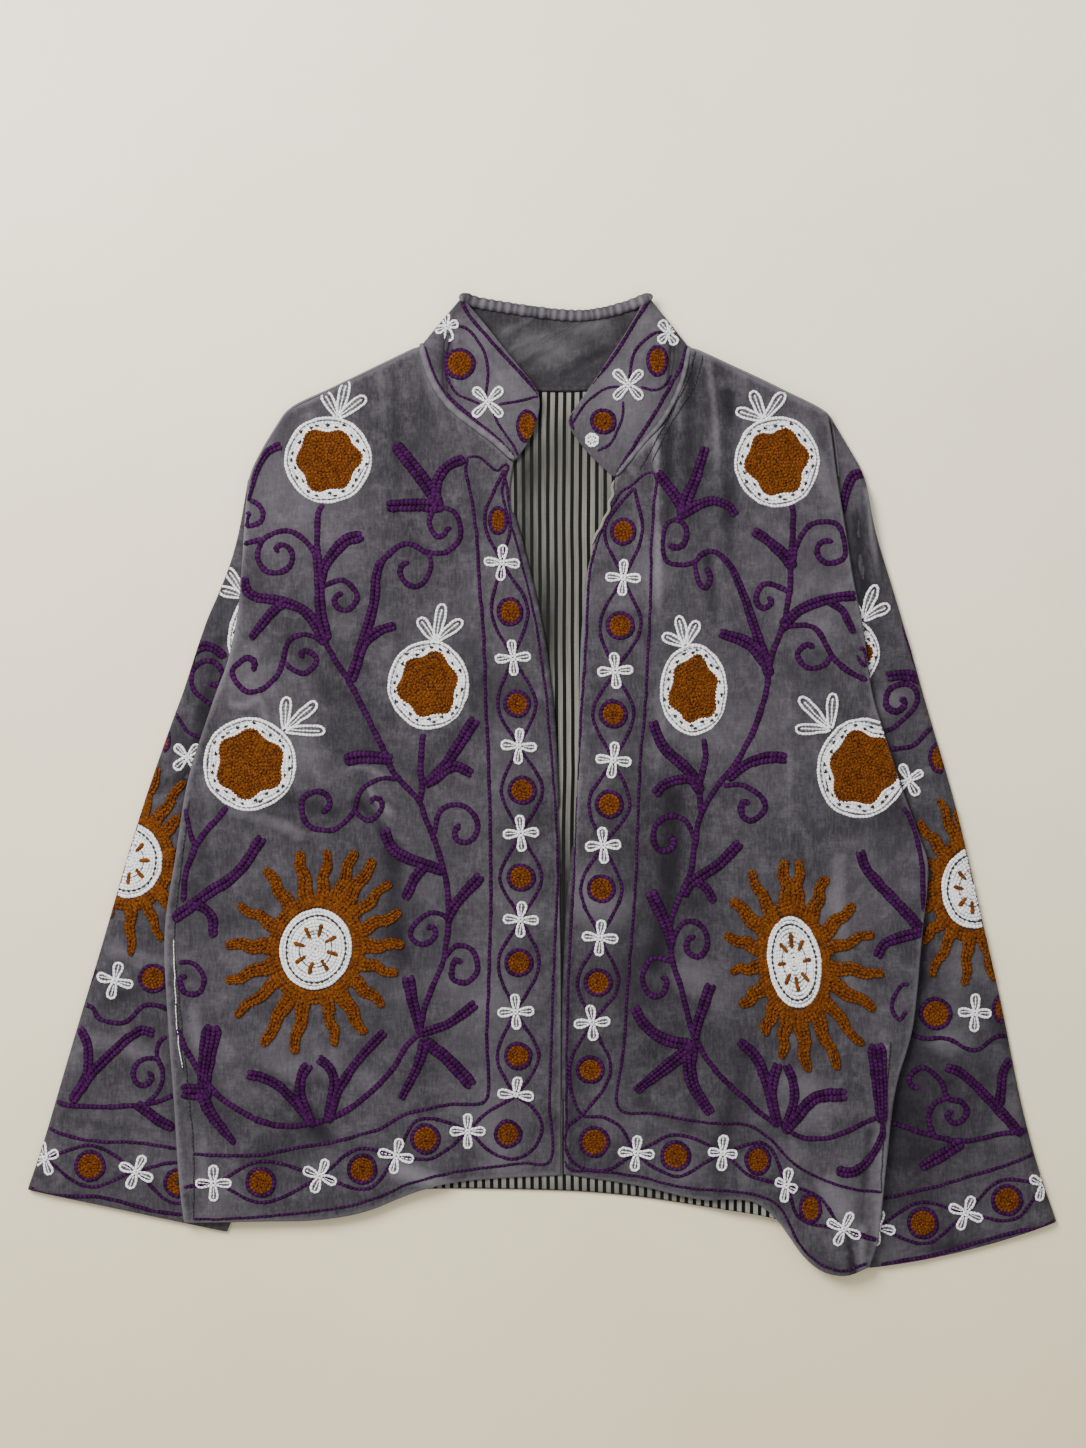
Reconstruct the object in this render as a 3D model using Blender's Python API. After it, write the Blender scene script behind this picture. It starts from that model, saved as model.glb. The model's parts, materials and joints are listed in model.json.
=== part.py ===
"""Suzani jacket, open down the front and laid flat on its back.

The tables hold millimetres. X runs across the jacket towards the wearer's left, Y from the hem towards the
collar, and Z up from the surface that the jacket lies on. Each piece is laid on what is already there, so the
pieces are made in the order in which they lie: sleeves, back, lining, collar, fronts.
"""

import math
from typing import NamedTuple

import bmesh
import bpy
import numpy as np
from mathutils import Vector
from mathutils.bvhtree import BVHTree
from mathutils.geometry import delaunay_2d_cdt

# Driving sizes, in millimetres
MM = 0.001
LAY_GAP = 0.3
SEAM_GAP = 1.0
FRONT_WALL = 2.0
BACK_WALL = 1.6
LINING_WALL = 0.9
SLEEVE_WALL = 1.5
SLEEVE_HEIGHT = 5.0
SLEEVE_EDGE_SHARE = 1.3
COLLAR_WALL = 1.2
LINING_INSET = 2.5

# How finely each piece is divided, in millimetres or in counts
FRONT_SPACING = 19.0
BACK_SPACING = 26.0
LINING_SPACING = 30.0
SLEEVE_RINGS = 25
SLEEVE_ACROSS = 8
RING_STEPS = 60
COLLAR_RIB_STEP = 15.0
COLLAR_ACROSS = 5
CREST_STEP = 12.0
CURVE_STEPS = 12
REACH_SHARE = 1.25
SHARP_ANGLE = 40.0

# The pile of cloth is read on a grid of cells that covers the jacket
CELL = 4.0
HALF_WIDTH = 420.0
HALF_LENGTH = 400.0
SKY = 200.0


class Across(NamedTuple):
    """A line across a front, from its side seam or armhole to its front or neck edge."""

    side_x: float
    side_y: float
    edge_x: float
    edge_y: float


class Spot(NamedTuple):
    """A point of an edge, such as a hem."""

    x: float
    y: float


class Ring(NamedTuple):
    """A line across a sleeve, from its outer to its inner fold; bow pushes its middle towards the cuff."""

    outer_x: float
    outer_y: float
    inner_x: float
    inner_y: float
    bow: float


class Rib(NamedTuple):
    """A line across the collar, from the neck seam to its top edge; bow pushes its middle to the opening."""

    seam_x: float
    seam_y: float
    top_x: float
    top_y: float
    bow: float


class Fold(NamedTuple):
    """A ridge in the cloth; bend pushes its middle sideways and reach is half its width at the foot."""

    start_x: float
    start_y: float
    end_x: float
    end_y: float
    bend: float
    start_height: float
    end_height: float
    reach: float


# The front of the wearer's right, from the hem up to the neck corner and on to the shoulder seam
RIGHT_BODY = [
    Across(-278, -340, 15, -304),
    Across(-282, -308, 15, -270),
    Across(-286, -246, 15, -215),
    Across(-291, -176, 15, -150),
    Across(-293, -113, 14, -95),
    Across(-284, -51, 13, -40),
    Across(-275, 4, 10, 20),
    Across(-258, 58, 5, 72),
    Across(-244, 97, -1, 114),
    Across(-236, 136, -9, 152),
    Across(-233, 175, -18, 187),
    Across(-230, 218, -25, 222),
    Across(-227, 236, -22, 251),
]
RIGHT_YOKE = [
    Across(-227, 236, -22, 251),
    Across(-218, 257, -47, 274),
    Across(-211, 271, -72, 295),
    Across(-204, 281, -89, 320),
    Across(-197, 291, -95, 342),
]
RIGHT_HEM = [
    Spot(-278, -340),
    Spot(-220, -339),
    Spot(-176, -338),
    Spot(-139, -332),
    Spot(-108, -320),
    Spot(-80, -311),
    Spot(-33, -306),
    Spot(15, -304),
]

# The front of the wearer's left
LEFT_BODY = [
    Across(254, -374, 17, -303),
    Across(261, -351, 17, -270),
    Across(268, -290, 17, -215),
    Across(275, -235, 18, -170),
    Across(288, -188, 20, -129),
    Across(295, -120, 23, -75),
    Across(300, -65, 26, -20),
    Across(294, -42, 28, 25),
    Across(279, 0, 29, 70),
    Across(265, 43, 30, 105),
    Across(256, 74, 32, 136),
    Across(251, 113, 36, 171),
    Across(242, 160, 44, 195),
    Across(235, 205, 53, 222),
    Across(231, 228, 57, 239),
]
LEFT_YOKE = [
    Across(231, 228, 57, 239),
    Across(228, 248, 74, 260),
    Across(226, 265, 94, 280),
    Across(224, 278, 108, 308),
    Across(222, 289, 115, 341),
]
LEFT_HEM = [
    Spot(254, -374),
    Spot(231, -381),
    Spot(209, -372),
    Spot(193, -352),
    Spot(178, -333),
    Spot(158, -322),
    Spot(123, -322),
    Spot(76, -312),
    Spot(17, -303),
]

# The back's neck and its hem, which shows below the hems of the fronts
BACK_NECK = [
    Spot(-95, 342),
    Spot(-72, 325),
    Spot(-33, 313),
    Spot(2, 309),
    Spot(34, 309),
    Spot(73, 314),
    Spot(96, 324),
    Spot(115, 341),
]
BACK_HEM = [
    Spot(-278, -340),
    Spot(-220, -334),
    Spot(-158, -325),
    Spot(-96, -317),
    Spot(14, -318),
    Spot(76, -323),
    Spot(123, -330),
    Spot(183, -340),
    Spot(225, -356),
    Spot(254, -374),
]

# The sleeves, from the armhole seam to the cuff
RIGHT_SLEEVE = [
    Ring(-229, 240, -140, 18, 22),
    Ring(-232, 222, -141, 8, 21),
    Ring(-237, 195, -142, -4, 20),
    Ring(-246, 165, -143, -16, 17),
    Ring(-265, 120, -145, -29, 12),
    Ring(-281, 70, -147, -43, 6),
    Ring(-301, 14, -150, -65, 2),
    Ring(-321, -48, -157, -102, 0),
    Ring(-341, -118, -168, -150, 0),
    Ring(-360, -181, -189, -205, 0),
    Ring(-375, -232, -212, -262, 0),
    Ring(-389, -280, -230, -308, 0),
    Ring(-401, -315, -245, -348, 0),
]
LEFT_SLEEVE = [
    Ring(227, 284, 155, 18, 30),
    Ring(240, 262, 156, 8, 28),
    Ring(252, 240, 157, -3, 26),
    Ring(258, 205, 158, -15, 23),
    Ring(270, 165, 159, -27, 18),
    Ring(284, 119, 161, -40, 11),
    Ring(300, 60, 164, -64, 5),
    Ring(322, -14, 170, -104, 0),
    Ring(341, -96, 180, -152, 0),
    Ring(358, -170, 197, -208, 0),
    Ring(371, -237, 215, -265, 0),
    Ring(385, -293, 233, -322, 2),
    Ring(401, -340, 254, -376, 5),
]

# The collar: a flap over each shoulder, turned at a fold into the part that lies behind the neck
RIGHT_FLAP = [
    Rib(-22, 251, -1, 305, 6),
    Rib(-34, 262, -15, 322, 4),
    Rib(-47, 274, -29, 339, 2),
    Rib(-62, 286, -40, 353, 0),
    Rib(-76, 300, -49, 364, 0),
    Rib(-87, 317, -56, 372, 0),
]
RIGHT_TURN = Rib(-95, 342, -63, 380, 0)
COLLAR_BACK = [
    Rib(-78, 329, -50, 378, 0),
    Rib(-56, 320, -36, 376, 0),
    Rib(-33, 313, -20, 373, 0),
    Rib(-8, 310, 0, 370, 0),
    Rib(16, 308.5, 20, 368.5, 0),
    Rib(40, 309, 40, 370, 0),
    Rib(64, 312.5, 56, 373, 0),
    Rib(88, 320, 69, 377, 0),
]
LEFT_TURN = Rib(115, 341, 83, 381, 0)
LEFT_FLAP = [
    Rib(111, 318, 73, 365, 0),
    Rib(105, 302, 62, 347, 0),
    Rib(96, 284, 50, 329, 0),
    Rib(84, 269, 37, 309, 0),
    Rib(70, 255, 27, 295, -2),
    Rib(57, 239, 18, 283, -3),
]
COLLAR_REST = LAY_GAP / 2 + COLLAR_WALL
FLAP_HEIGHT = 4.9
FLAP_SPRING = 3.5
TURN_STEPS = 4

# The largest folds of each piece
RIGHT_FOLDS = [
    Fold(-113, 316, -114, 206, 3, 3.0, 1.5, 17),
    Fold(-60, 250, -66, 40, 6, 1.6, 1.2, 34),
    Fold(-243, 72, -178, 40, 4, 2.6, 1.4, 20),
    Fold(-182, 16, -108, -46, -6, 1.6, 2.6, 22),
    Fold(-246, -70, -232, -300, 8, 1.6, 2.4, 34),
    Fold(-150, -90, -160, -270, -8, 1.4, 1.8, 38),
    Fold(-112, -240, -92, -312, 4, 1.2, 4.0, 24),
    Fold(-40, -60, -44, -250, 6, 1.2, 1.6, 32),
]
LEFT_FOLDS = [
    Fold(88, 268, 90, 168, 3, 3.4, 2.6, 15),
    Fold(127, 332, 142, 118, -5, 3.6, 3.0, 19),
    Fold(190, 92, 192, -96, 4, 2.4, 2.4, 30),
    Fold(64, 120, 62, -80, 5, 1.8, 1.4, 28),
    Fold(118, -20, 112, -226, -6, 1.6, 2.4, 30),
    Fold(198, -190, 194, -318, -4, 2.0, 4.0, 24),
    Fold(246, -150, 232, -378, 6, 1.6, 6.0, 28),
    Fold(150, -236, 142, -322, 0, 1.0, 3.0, 16),
]
RIGHT_SLEEVE_FOLDS = [
    Fold(-262, 90, -330, -150, 6, 1.6, 1.8, 26),
    Fold(-290, -60, -336, -250, -5, 1.4, 1.8, 24),
    Fold(-366, -230, -374, -312, 3, 1.2, 2.4, 20),
]
LEFT_SLEEVE_FOLDS = [
    Fold(255, 222, 261, 148, 3, 3.0, 1.0, 12),
    Fold(290, 60, 330, -140, -5, 1.8, 1.6, 26),
    Fold(322, -150, 346, -300, 4, 1.4, 2.4, 24),
    Fold(372, -260, 382, -336, 3, 1.2, 2.4, 20),
]

# Each piece's colour, roughness and metallic value
VELVET = ((0.142, 0.135, 0.146, 1.0), 0.88, 0.0)
FACING_VELVET = ((0.128, 0.122, 0.131, 1.0), 0.9, 0.0)
STRIPED_COTTON = ((0.45, 0.45, 0.42, 1.0), 0.8, 0.0)


def smooth(points, step):
    """Points about `step` apart along a smooth curve through the given ones, both ends kept."""
    given = np.array(points, dtype=float)
    padded = np.vstack([2 * given[0] - given[1], given, 2 * given[-1] - given[-2]])
    fine = []
    for before, start, end, after in zip(padded, padded[1:], padded[2:], padded[3:]):
        for t in np.linspace(0.0, 1.0, CURVE_STEPS, endpoint=False):
            bend = (2 * before - 5 * start + 4 * end - after) * t**2
            twist = (3 * start - before - 3 * end + after) * t**3
            fine.append(0.5 * (2 * start + (end - before) * t + bend + twist))
    fine.append(given[-1])
    fine = np.array(fine)
    length = np.concatenate([[0.0], np.cumsum(np.linalg.norm(np.diff(fine[:, :2], axis=0), axis=1))])
    stops = np.linspace(0.0, length[-1], max(3, round(length[-1] / step) + 1))
    return np.column_stack([np.interp(stops, length, column) for column in fine.T])


def outline(edges, spacing):
    """Joins smooth edges end to end into one closed outline, with a corner where two of them meet."""
    return np.vstack([smooth(edge, spacing)[:-1] for edge in edges])


def side_edge(body, yoke):
    """The side seam and armhole of a front, from the hem to the shoulder."""
    rows = body + yoke[1:]
    return [(row.side_x, row.side_y) for row in rows]


def front_edges(body, yoke, hem):
    """The edges of a front: side, shoulder, neck, opening and hem."""
    side = side_edge(body, yoke)
    shoulder = [(yoke[-1].side_x, yoke[-1].side_y), (yoke[-1].edge_x, yoke[-1].edge_y)]
    neck = [(row.edge_x, row.edge_y) for row in reversed(yoke)]
    opening = [(row.edge_x, row.edge_y) for row in reversed(body)]
    return [side, shoulder, neck, opening, list(reversed(hem))]


def back_edges():
    """The edges of the back: side, shoulder, neck, shoulder, side and hem."""
    right_side = side_edge(RIGHT_BODY, RIGHT_YOKE)
    left_side = side_edge(LEFT_BODY, LEFT_YOKE)
    right_shoulder = [right_side[-1], BACK_NECK[0]]
    left_shoulder = [BACK_NECK[-1], left_side[-1]]
    down_left, hem = list(reversed(left_side)), list(reversed(BACK_HEM))
    return [right_side, right_shoulder, BACK_NECK, left_shoulder, down_left, hem]


def inset(border, distance):
    """Moves each point of a clockwise outline inwards."""
    along = np.roll(border, -1, axis=0) - np.roll(border, 1, axis=0)
    along /= np.linalg.norm(along, axis=1)[:, None]
    inwards = np.column_stack([along[:, 1], -along[:, 0]])
    return border + inwards * distance


def inside(points, border):
    """Says of each point whether it lies inside a closed outline."""
    x, y = points[:, 0], points[:, 1]
    crossings = np.zeros(len(points), dtype=int)
    for start, end in zip(border, np.roll(border, -1, axis=0)):
        if start[1] == end[1]:
            continue
        spans = (start[1] > y) != (end[1] > y)
        meets = start[0] + (y - start[1]) / (end[1] - start[1]) * (end[0] - start[0])
        crossings += spans & (x < meets)
    return crossings % 2 == 1


def nearest_on(path, points):
    """Each point's distance to a path, and how far along it the nearest place is, from 0 to 1."""
    away = np.full(len(points), np.inf)
    along = np.zeros(len(points))
    pieces = len(path) - 1
    for number in range(pieces):
        start, run = path[number], path[number + 1] - path[number]
        share = np.clip((points - start) @ run / (run @ run), 0.0, 1.0)
        distance = np.linalg.norm(points - start - share[:, None] * run, axis=1)
        closer = distance < away
        away[closer] = distance[closer]
        along[closer] = (number + share[closer]) / pieces
    return away, along


def bowed_line(start, end, bow, count):
    """Points along a line whose middle is pushed to the left of its direction by `bow`."""
    start, end = np.array(start, dtype=float), np.array(end, dtype=float)
    run = end - start
    left = np.array([-run[1], run[0]]) / np.linalg.norm(run)
    share = np.linspace(0.0, 1.0, count)[:, None]
    return start + run * share + left * 4 * bow * share * (1 - share)


def crest(fold, step=CREST_STEP):
    """The points along the top of a fold."""
    length = math.dist((fold.start_x, fold.start_y), (fold.end_x, fold.end_y))
    count = max(3, round(length / step) + 1)
    return bowed_line((fold.start_x, fold.start_y), (fold.end_x, fold.end_y), fold.bend, count)


def rise(points, folds):
    """How far each point is lifted by the folds near it."""
    lift = np.zeros(len(points))
    for fold in folds:
        away, along = nearest_on(crest(fold), points)
        height = fold.start_height + (fold.end_height - fold.start_height) * along
        shape = np.clip(1.0 - (away / fold.reach) ** 2, 0.0, 1.0) ** 2
        lift = np.maximum(lift, height * shape)
    return lift


def disc(reach):
    """The steps from a cell to each cell within reach."""
    cells = math.ceil(reach / CELL)
    steps = range(-cells, cells + 1)
    return [(i, j) for i in steps for j in steps if math.hypot(i, j) * CELL <= reach + CELL / 2]


def shifted(field, i, j):
    """A field moved by whole cells, with its border repeated."""
    rows = np.clip(np.arange(field.shape[0]) + i, 0, field.shape[0] - 1)
    columns = np.clip(np.arange(field.shape[1]) + j, 0, field.shape[1] - 1)
    return field[np.ix_(rows, columns)]


class Pile:
    """The cloth that already lies on the surface, as a grid of heights."""

    def __init__(self):
        self.x = np.arange(-HALF_WIDTH, HALF_WIDTH + CELL / 2, CELL)
        self.y = np.arange(-HALF_LENGTH, HALF_LENGTH + CELL / 2, CELL)
        self.top = np.zeros((len(self.x), len(self.y)))

    def add(self, points, faces):
        """Raises the heights to the top of a new piece, plus the gap to what comes next."""
        tree = BVHTree.FromPolygons([Vector(point) for point in points], faces)
        low, high = points.min(axis=0), points.max(axis=0)
        down = Vector((0.0, 0.0, -1.0))
        for i in np.flatnonzero((self.x >= low[0]) & (self.x <= high[0])):
            for j in np.flatnonzero((self.y >= low[1]) & (self.y <= high[1])):
                hit = tree.ray_cast(Vector((self.x[i], self.y[j], SKY)), down)[0]
                if hit is not None:
                    self.top[i, j] = max(self.top[i, j], hit.z + LAY_GAP)

    def ground(self, border, reach):
        """The heights inside an outline, spread so that cloth with a net of `reach` stays clear of them."""
        cells = np.array([(x, y) for x in self.x for y in self.y])
        covered = inside(cells, border).reshape(self.top.shape)
        field = np.where(covered, self.top, 0.0)
        softness = reach / 3
        field = np.max([shifted(field, i, j) for i, j in disc(reach + softness)], axis=0)
        around = disc(softness)
        return sum(shifted(field, i, j) for i, j in around) / len(around)

    def read(self, field, points):
        """A field's value at each point, between its cells."""
        column = np.clip((points[:, 0] + HALF_WIDTH) / CELL, 0, len(self.x) - 1.001)
        row = np.clip((points[:, 1] + HALF_LENGTH) / CELL, 0, len(self.y) - 1.001)
        i, j = column.astype(int), row.astype(int)
        s, t = column - i, row - j
        near = field[i, j] * (1 - s) + field[i + 1, j] * s
        far = field[i, j + 1] * (1 - s) + field[i + 1, j + 1] * s
        return near * (1 - t) + far * t


def net(border, spacing, folds):
    """Points inside an outline: some along each fold's crest and feet, and a staggered net between them."""
    chosen = [border]
    for fold in folds:
        line = crest(fold, spacing)
        run = np.gradient(line, axis=0)
        run /= np.linalg.norm(run, axis=1)[:, None]
        side = np.column_stack([-run[:, 1], run[:, 0]]) * min(fold.reach, 1.2 * spacing)
        for row in (line, line + side, line - side):
            apart = np.min(np.linalg.norm(row[:, None] - np.vstack(chosen)[None], axis=2), axis=1)
            chosen.append(row[inside(row, border) & (apart > 0.45 * spacing)])
    low, high = border.min(axis=0), border.max(axis=0)
    rows = []
    for number, y in enumerate(np.arange(low[1], high[1], spacing * math.sqrt(3) / 2)):
        x = np.arange(low[0] + spacing / 2 * (number % 2), high[0], spacing)
        rows.append(np.column_stack([x, np.full(len(x), y)]))
    staggered = np.vstack(rows)
    apart = np.min(np.linalg.norm(staggered[:, None] - np.vstack(chosen)[None], axis=2), axis=1)
    chosen.append(staggered[inside(staggered, border) & (apart > 0.6 * spacing)])
    return np.vstack(chosen)


def laid_sheet(border, spacing, wall, folds, pile):
    """A flat cut of cloth laid on the pile, as the points and faces of a closed wall."""
    flat = net(border, spacing, folds)
    edges = [(k, (k + 1) % len(border)) for k in range(len(border))]
    corners = [Vector(point) for point in flat]
    placed, _, faces, _, _, _ = delaunay_2d_cdt(corners, edges, [], 1, 1e-4)
    placed = np.array([tuple(point) for point in placed])
    field = pile.ground(border, REACH_SHARE * spacing)
    lower = pile.read(field, placed) + rise(placed, folds)
    mesh = bmesh.new()
    verts = [mesh.verts.new((x, y, z)) for (x, y), z in zip(placed, lower)]
    for face in faces:
        mesh.faces.new([verts[k] for k in face])
    bmesh.ops.recalc_face_normals(mesh, faces=mesh.faces)
    grown = bmesh.ops.extrude_face_region(mesh, geom=mesh.faces[:])
    moved = [item for item in grown["geom"] if isinstance(item, bmesh.types.BMVert)]
    bmesh.ops.translate(mesh, verts=moved, vec=(0.0, 0.0, wall))
    return from_bmesh(mesh)


def from_bmesh(mesh):
    """The points and faces of a bmesh, which is then freed; its faces point out."""
    bmesh.ops.recalc_face_normals(mesh, faces=mesh.faces)
    mesh.verts.index_update()
    points = np.array([tuple(vert.co) for vert in mesh.verts])
    faces = [[vert.index for vert in face.verts] for face in mesh.faces]
    mesh.free()
    return points, faces


def skin(rows, closed):
    """The faces between neighbouring rows of a grid of points, numbered row by row."""
    count = len(rows[0])
    faces = []
    for k in range(len(rows) - 1):
        for m in range(count if closed else count - 1):
            n = (m + 1) % count
            faces.append([k * count + m, k * count + n, (k + 1) * count + n, (k + 1) * count + m])
    return faces


def flat_loop(ring, hand, height, wall_in):
    """A closed loop round a flattened sleeve, `wall_in` inside its outer face."""
    path = bowed_line((ring.outer_x, ring.outer_y), (ring.inner_x, ring.inner_y), hand * ring.bow, RING_STEPS)
    length = np.linalg.norm(path[0] - path[-1])
    low, high = wall_in, height - wall_in
    tip = SLEEVE_EDGE_SHARE * wall_in
    turn = tip + (high - low) / 2
    upper = np.linspace(turn, length - turn, SLEEVE_ACROSS)
    stops = [(tip, (low + high) / 2)]
    stops += [(s, high) for s in upper]
    stops += [(length - tip, (low + high) / 2)]
    stops += [(s, low) for s in reversed(upper)]
    share = np.array([s / length for s, _ in stops])
    at = share * (len(path) - 1)
    x = np.interp(at, range(len(path)), path[:, 0])
    y = np.interp(at, range(len(path)), path[:, 1])
    return np.column_stack([x, y, [z for _, z in stops]])


def sleeve(rings, hand, folds):
    """A sleeve laid flat, as the points and faces of an open tube with a wall."""
    table = np.array(rings, dtype=float)
    stops = np.linspace(0, len(table) - 1, SLEEVE_RINGS)
    columns = [resampled(column, stops) for column in table.T]
    loops = {"outer": [], "inner": []}
    for row in zip(*columns):
        ring = Ring(*row)
        loops["outer"].append(flat_loop(ring, hand, SLEEVE_HEIGHT, 0.0))
        loops["inner"].append(flat_loop(ring, hand, SLEEVE_HEIGHT, SLEEVE_WALL))
    points = np.vstack(loops["outer"] + loops["inner"])
    upper = points[:, 2] > SLEEVE_HEIGHT / 2 + 0.1
    points[upper, 2] += rise(points[upper, :2], folds)
    faces = skin(loops["outer"], closed=True)
    start = len(faces)
    total = SLEEVE_RINGS * len(loops["outer"][0])
    faces += [[k + total for k in face] for face in faces[:start]]
    count = len(loops["outer"][0])
    for first in (0, total - count):
        for m in range(count):
            n = (m + 1) % count
            faces.append([first + m, first + n, total + first + n, total + first + m])
    return closed_wall(points, faces)


def resampled(column, stops):
    """A table's column read smoothly between its rows."""
    padded = np.concatenate([[2 * column[0] - column[1]], column, [2 * column[-1] - column[-2]]])
    values = []
    for stop in stops:
        k = min(int(stop), len(column) - 2)
        t = stop - k
        before, start, end, after = padded[k:k + 4]
        bend = (2 * before - 5 * start + 4 * end - after) * t**2
        twist = (3 * start - before - 3 * end + after) * t**3
        values.append(0.5 * (2 * start + (end - before) * t + bend + twist))
    return values


def closed_wall(points, faces):
    """Points and faces with every face pointing out."""
    mesh = bmesh.new()
    verts = [mesh.verts.new(point) for point in points]
    for face in faces:
        mesh.faces.new([verts[k] for k in face])
    return from_bmesh(mesh)


def rib_line(rib, hand):
    """The plan of a rib, from just off the neck seam to the top edge."""
    seam, top = np.array([rib.seam_x, rib.seam_y]), np.array([rib.top_x, rib.top_y])
    seam = seam + (top - seam) / np.linalg.norm(top - seam) * SEAM_GAP
    return bowed_line(seam, top, hand * rib.bow, COLLAR_ACROSS)


def flap_height():
    """The height of a flap's middle, from the neck seam to the top edge, which springs up a little."""
    return FLAP_HEIGHT + FLAP_SPRING * np.linspace(0.0, 1.0, COLLAR_ACROSS)


def turn_ribs(turn, outwards):
    """The ribs round the collar's fold, from the flap down to the part behind the neck."""
    line = rib_line(turn, 0)
    run = line[-1] - line[0]
    side = outwards * np.array([-run[1], run[0]]) / np.linalg.norm(run)
    high, low = flap_height(), np.full(COLLAR_ACROSS, COLLAR_REST)
    radius = (high - low) / 2
    ribs = []
    for step in range(TURN_STEPS + 1):
        angle = math.pi / 2 - math.pi * step / TURN_STEPS
        out = radius * (math.cos(angle) - 1.0) - COLLAR_REST
        height = (high + low) / 2 + radius * math.sin(angle)
        ribs.append(np.column_stack([line + side * out[:, None], height]))
    return ribs


def between_ribs(rows, hand, heights):
    """Ribs at even steps through a table's rows, at the given heights."""
    table = np.array(rows, dtype=float)
    seam_length = np.sum(np.linalg.norm(np.diff(table[:, :2], axis=0), axis=1))
    stops = np.linspace(0, len(table) - 1, round(seam_length / COLLAR_RIB_STEP) + 1)
    columns = [resampled(column, stops) for column in table.T]
    return [np.column_stack([rib_line(Rib(*row), hand), heights]) for row in zip(*columns)]


def collar_middle():
    """The middle surface of the collar, rib by rib, from the right flap's tip to the left flap's."""
    flat = np.full(COLLAR_ACROSS, COLLAR_REST)
    ribs = between_ribs(RIGHT_FLAP, -1, flap_height())
    ribs += turn_ribs(RIGHT_TURN, 1)
    ribs += between_ribs(COLLAR_BACK, 1, flat)
    ribs += reversed(turn_ribs(LEFT_TURN, -1))
    ribs += between_ribs(LEFT_FLAP, -1, flap_height())
    return np.array(ribs)


def collar_band(near, far):
    """One layer of the collar, between two distances from its middle surface; outwards is positive."""
    middle = collar_middle()
    across = np.gradient(middle, axis=1)
    along = np.gradient(middle, axis=0)
    normal = np.cross(across, along)
    normal /= np.linalg.norm(normal, axis=2)[:, :, None]
    first, second = middle + normal * near, middle + normal * far
    count = middle.shape[1]
    total = middle.shape[0] * count
    points = np.vstack([first.reshape(-1, 3), second.reshape(-1, 3)])
    faces = skin(list(first), closed=False)
    faces += [[k + total for k in face] for face in faces]
    rim = list(range(count)) + [k * count + count - 1 for k in range(1, middle.shape[0])]
    rim += list(range(total - 2, total - count - 1, -1))
    rim += [k * count for k in range(middle.shape[0] - 2, 0, -1)]
    for start, end in zip(rim, rim[1:] + rim[:1]):
        faces.append([start, end, end + total, start + total])
    return closed_wall(points, faces)


def material(name, finish):
    """A cloth's plain material."""
    colour, roughness, metallic = finish
    cloth = bpy.data.materials.new(name)
    cloth.use_nodes = True
    shader = cloth.node_tree.nodes["Principled BSDF"]
    shader.inputs["Base Color"].default_value = colour
    shader.inputs["Roughness"].default_value = roughness
    shader.inputs["Metallic"].default_value = metallic
    return cloth


def add_piece(collection, name, shape, finish, shift):
    """Adds a piece, in metres, as an object of its own."""
    points, faces = shape
    mesh = bpy.data.meshes.new(name)
    mesh.from_pydata([tuple(point) for point in (points + shift) * MM], [], faces)
    mesh.update()
    mesh.materials.append(material(name + "_cloth", finish))
    mesh.shade_smooth()
    mesh.set_sharp_from_angle(angle=math.radians(SHARP_ANGLE))
    piece = bpy.data.objects.new(name, mesh)
    collection.objects.link(piece)


def jacket_shapes():
    """Every piece of the jacket, in the order in which they lie."""
    pile = Pile()
    shapes = {}

    def lay(name, shape, finish):
        shapes[name] = (shape, finish)
        pile.add(*shape)

    lay("sleeve_right", sleeve(RIGHT_SLEEVE, -1, RIGHT_SLEEVE_FOLDS), VELVET)
    lay("sleeve_left", sleeve(LEFT_SLEEVE, 1, LEFT_SLEEVE_FOLDS), VELVET)
    back = outline(back_edges(), BACK_SPACING)
    lay("back_panel", laid_sheet(back, BACK_SPACING, BACK_WALL, [], pile), VELVET)
    lining = inset(outline(back_edges(), LINING_SPACING), LINING_INSET)
    lay("back_lining", laid_sheet(lining, LINING_SPACING, LINING_WALL, [], pile), STRIPED_COTTON)
    lay("collar_outer", collar_band(LAY_GAP / 2, LAY_GAP / 2 + COLLAR_WALL), VELVET)
    lay("collar_facing", collar_band(-LAY_GAP / 2 - COLLAR_WALL, -LAY_GAP / 2), FACING_VELVET)
    fronts = (
        ("front_right", front_edges(RIGHT_BODY, RIGHT_YOKE, RIGHT_HEM), RIGHT_FOLDS),
        ("front_left", front_edges(LEFT_BODY, LEFT_YOKE, LEFT_HEM), LEFT_FOLDS),
    )
    for name, edges, folds in fronts:
        border = outline(edges, FRONT_SPACING)
        lay(name, laid_sheet(border, FRONT_SPACING, FRONT_WALL, folds, pile), VELVET)
    return shapes


def main():
    """Clears the scene and builds the jacket with its origin under the middle of its box."""
    for old in list(bpy.data.objects):
        bpy.data.objects.remove(old, do_unlink=True)
    collection = bpy.data.collections.new("suzani_jacket")
    bpy.context.scene.collection.children.link(collection)
    shapes = jacket_shapes()
    everything = np.vstack([points for (points, _), _ in shapes.values()])
    low, high = everything.min(axis=0), everything.max(axis=0)
    shift = -np.array([(low[0] + high[0]) / 2, (low[1] + high[1]) / 2, low[2]])
    for name, (shape, finish) in shapes.items():
        add_piece(collection, name, shape, finish, shift)


main()
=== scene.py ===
"""The looks of an embroidered velvet suzani jacket, laid flat on its back.

Every size here is in metres unless a name says otherwise. Motifs and creases are placed by their pixel in the
1086 by 1448 photograph, and are then sewn on, or pressed into, the cloth that carries them.
"""

import json
import logging
import math
from dataclasses import dataclass, field
from enum import Enum
from typing import Callable, Iterable, NamedTuple, Sequence

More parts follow.
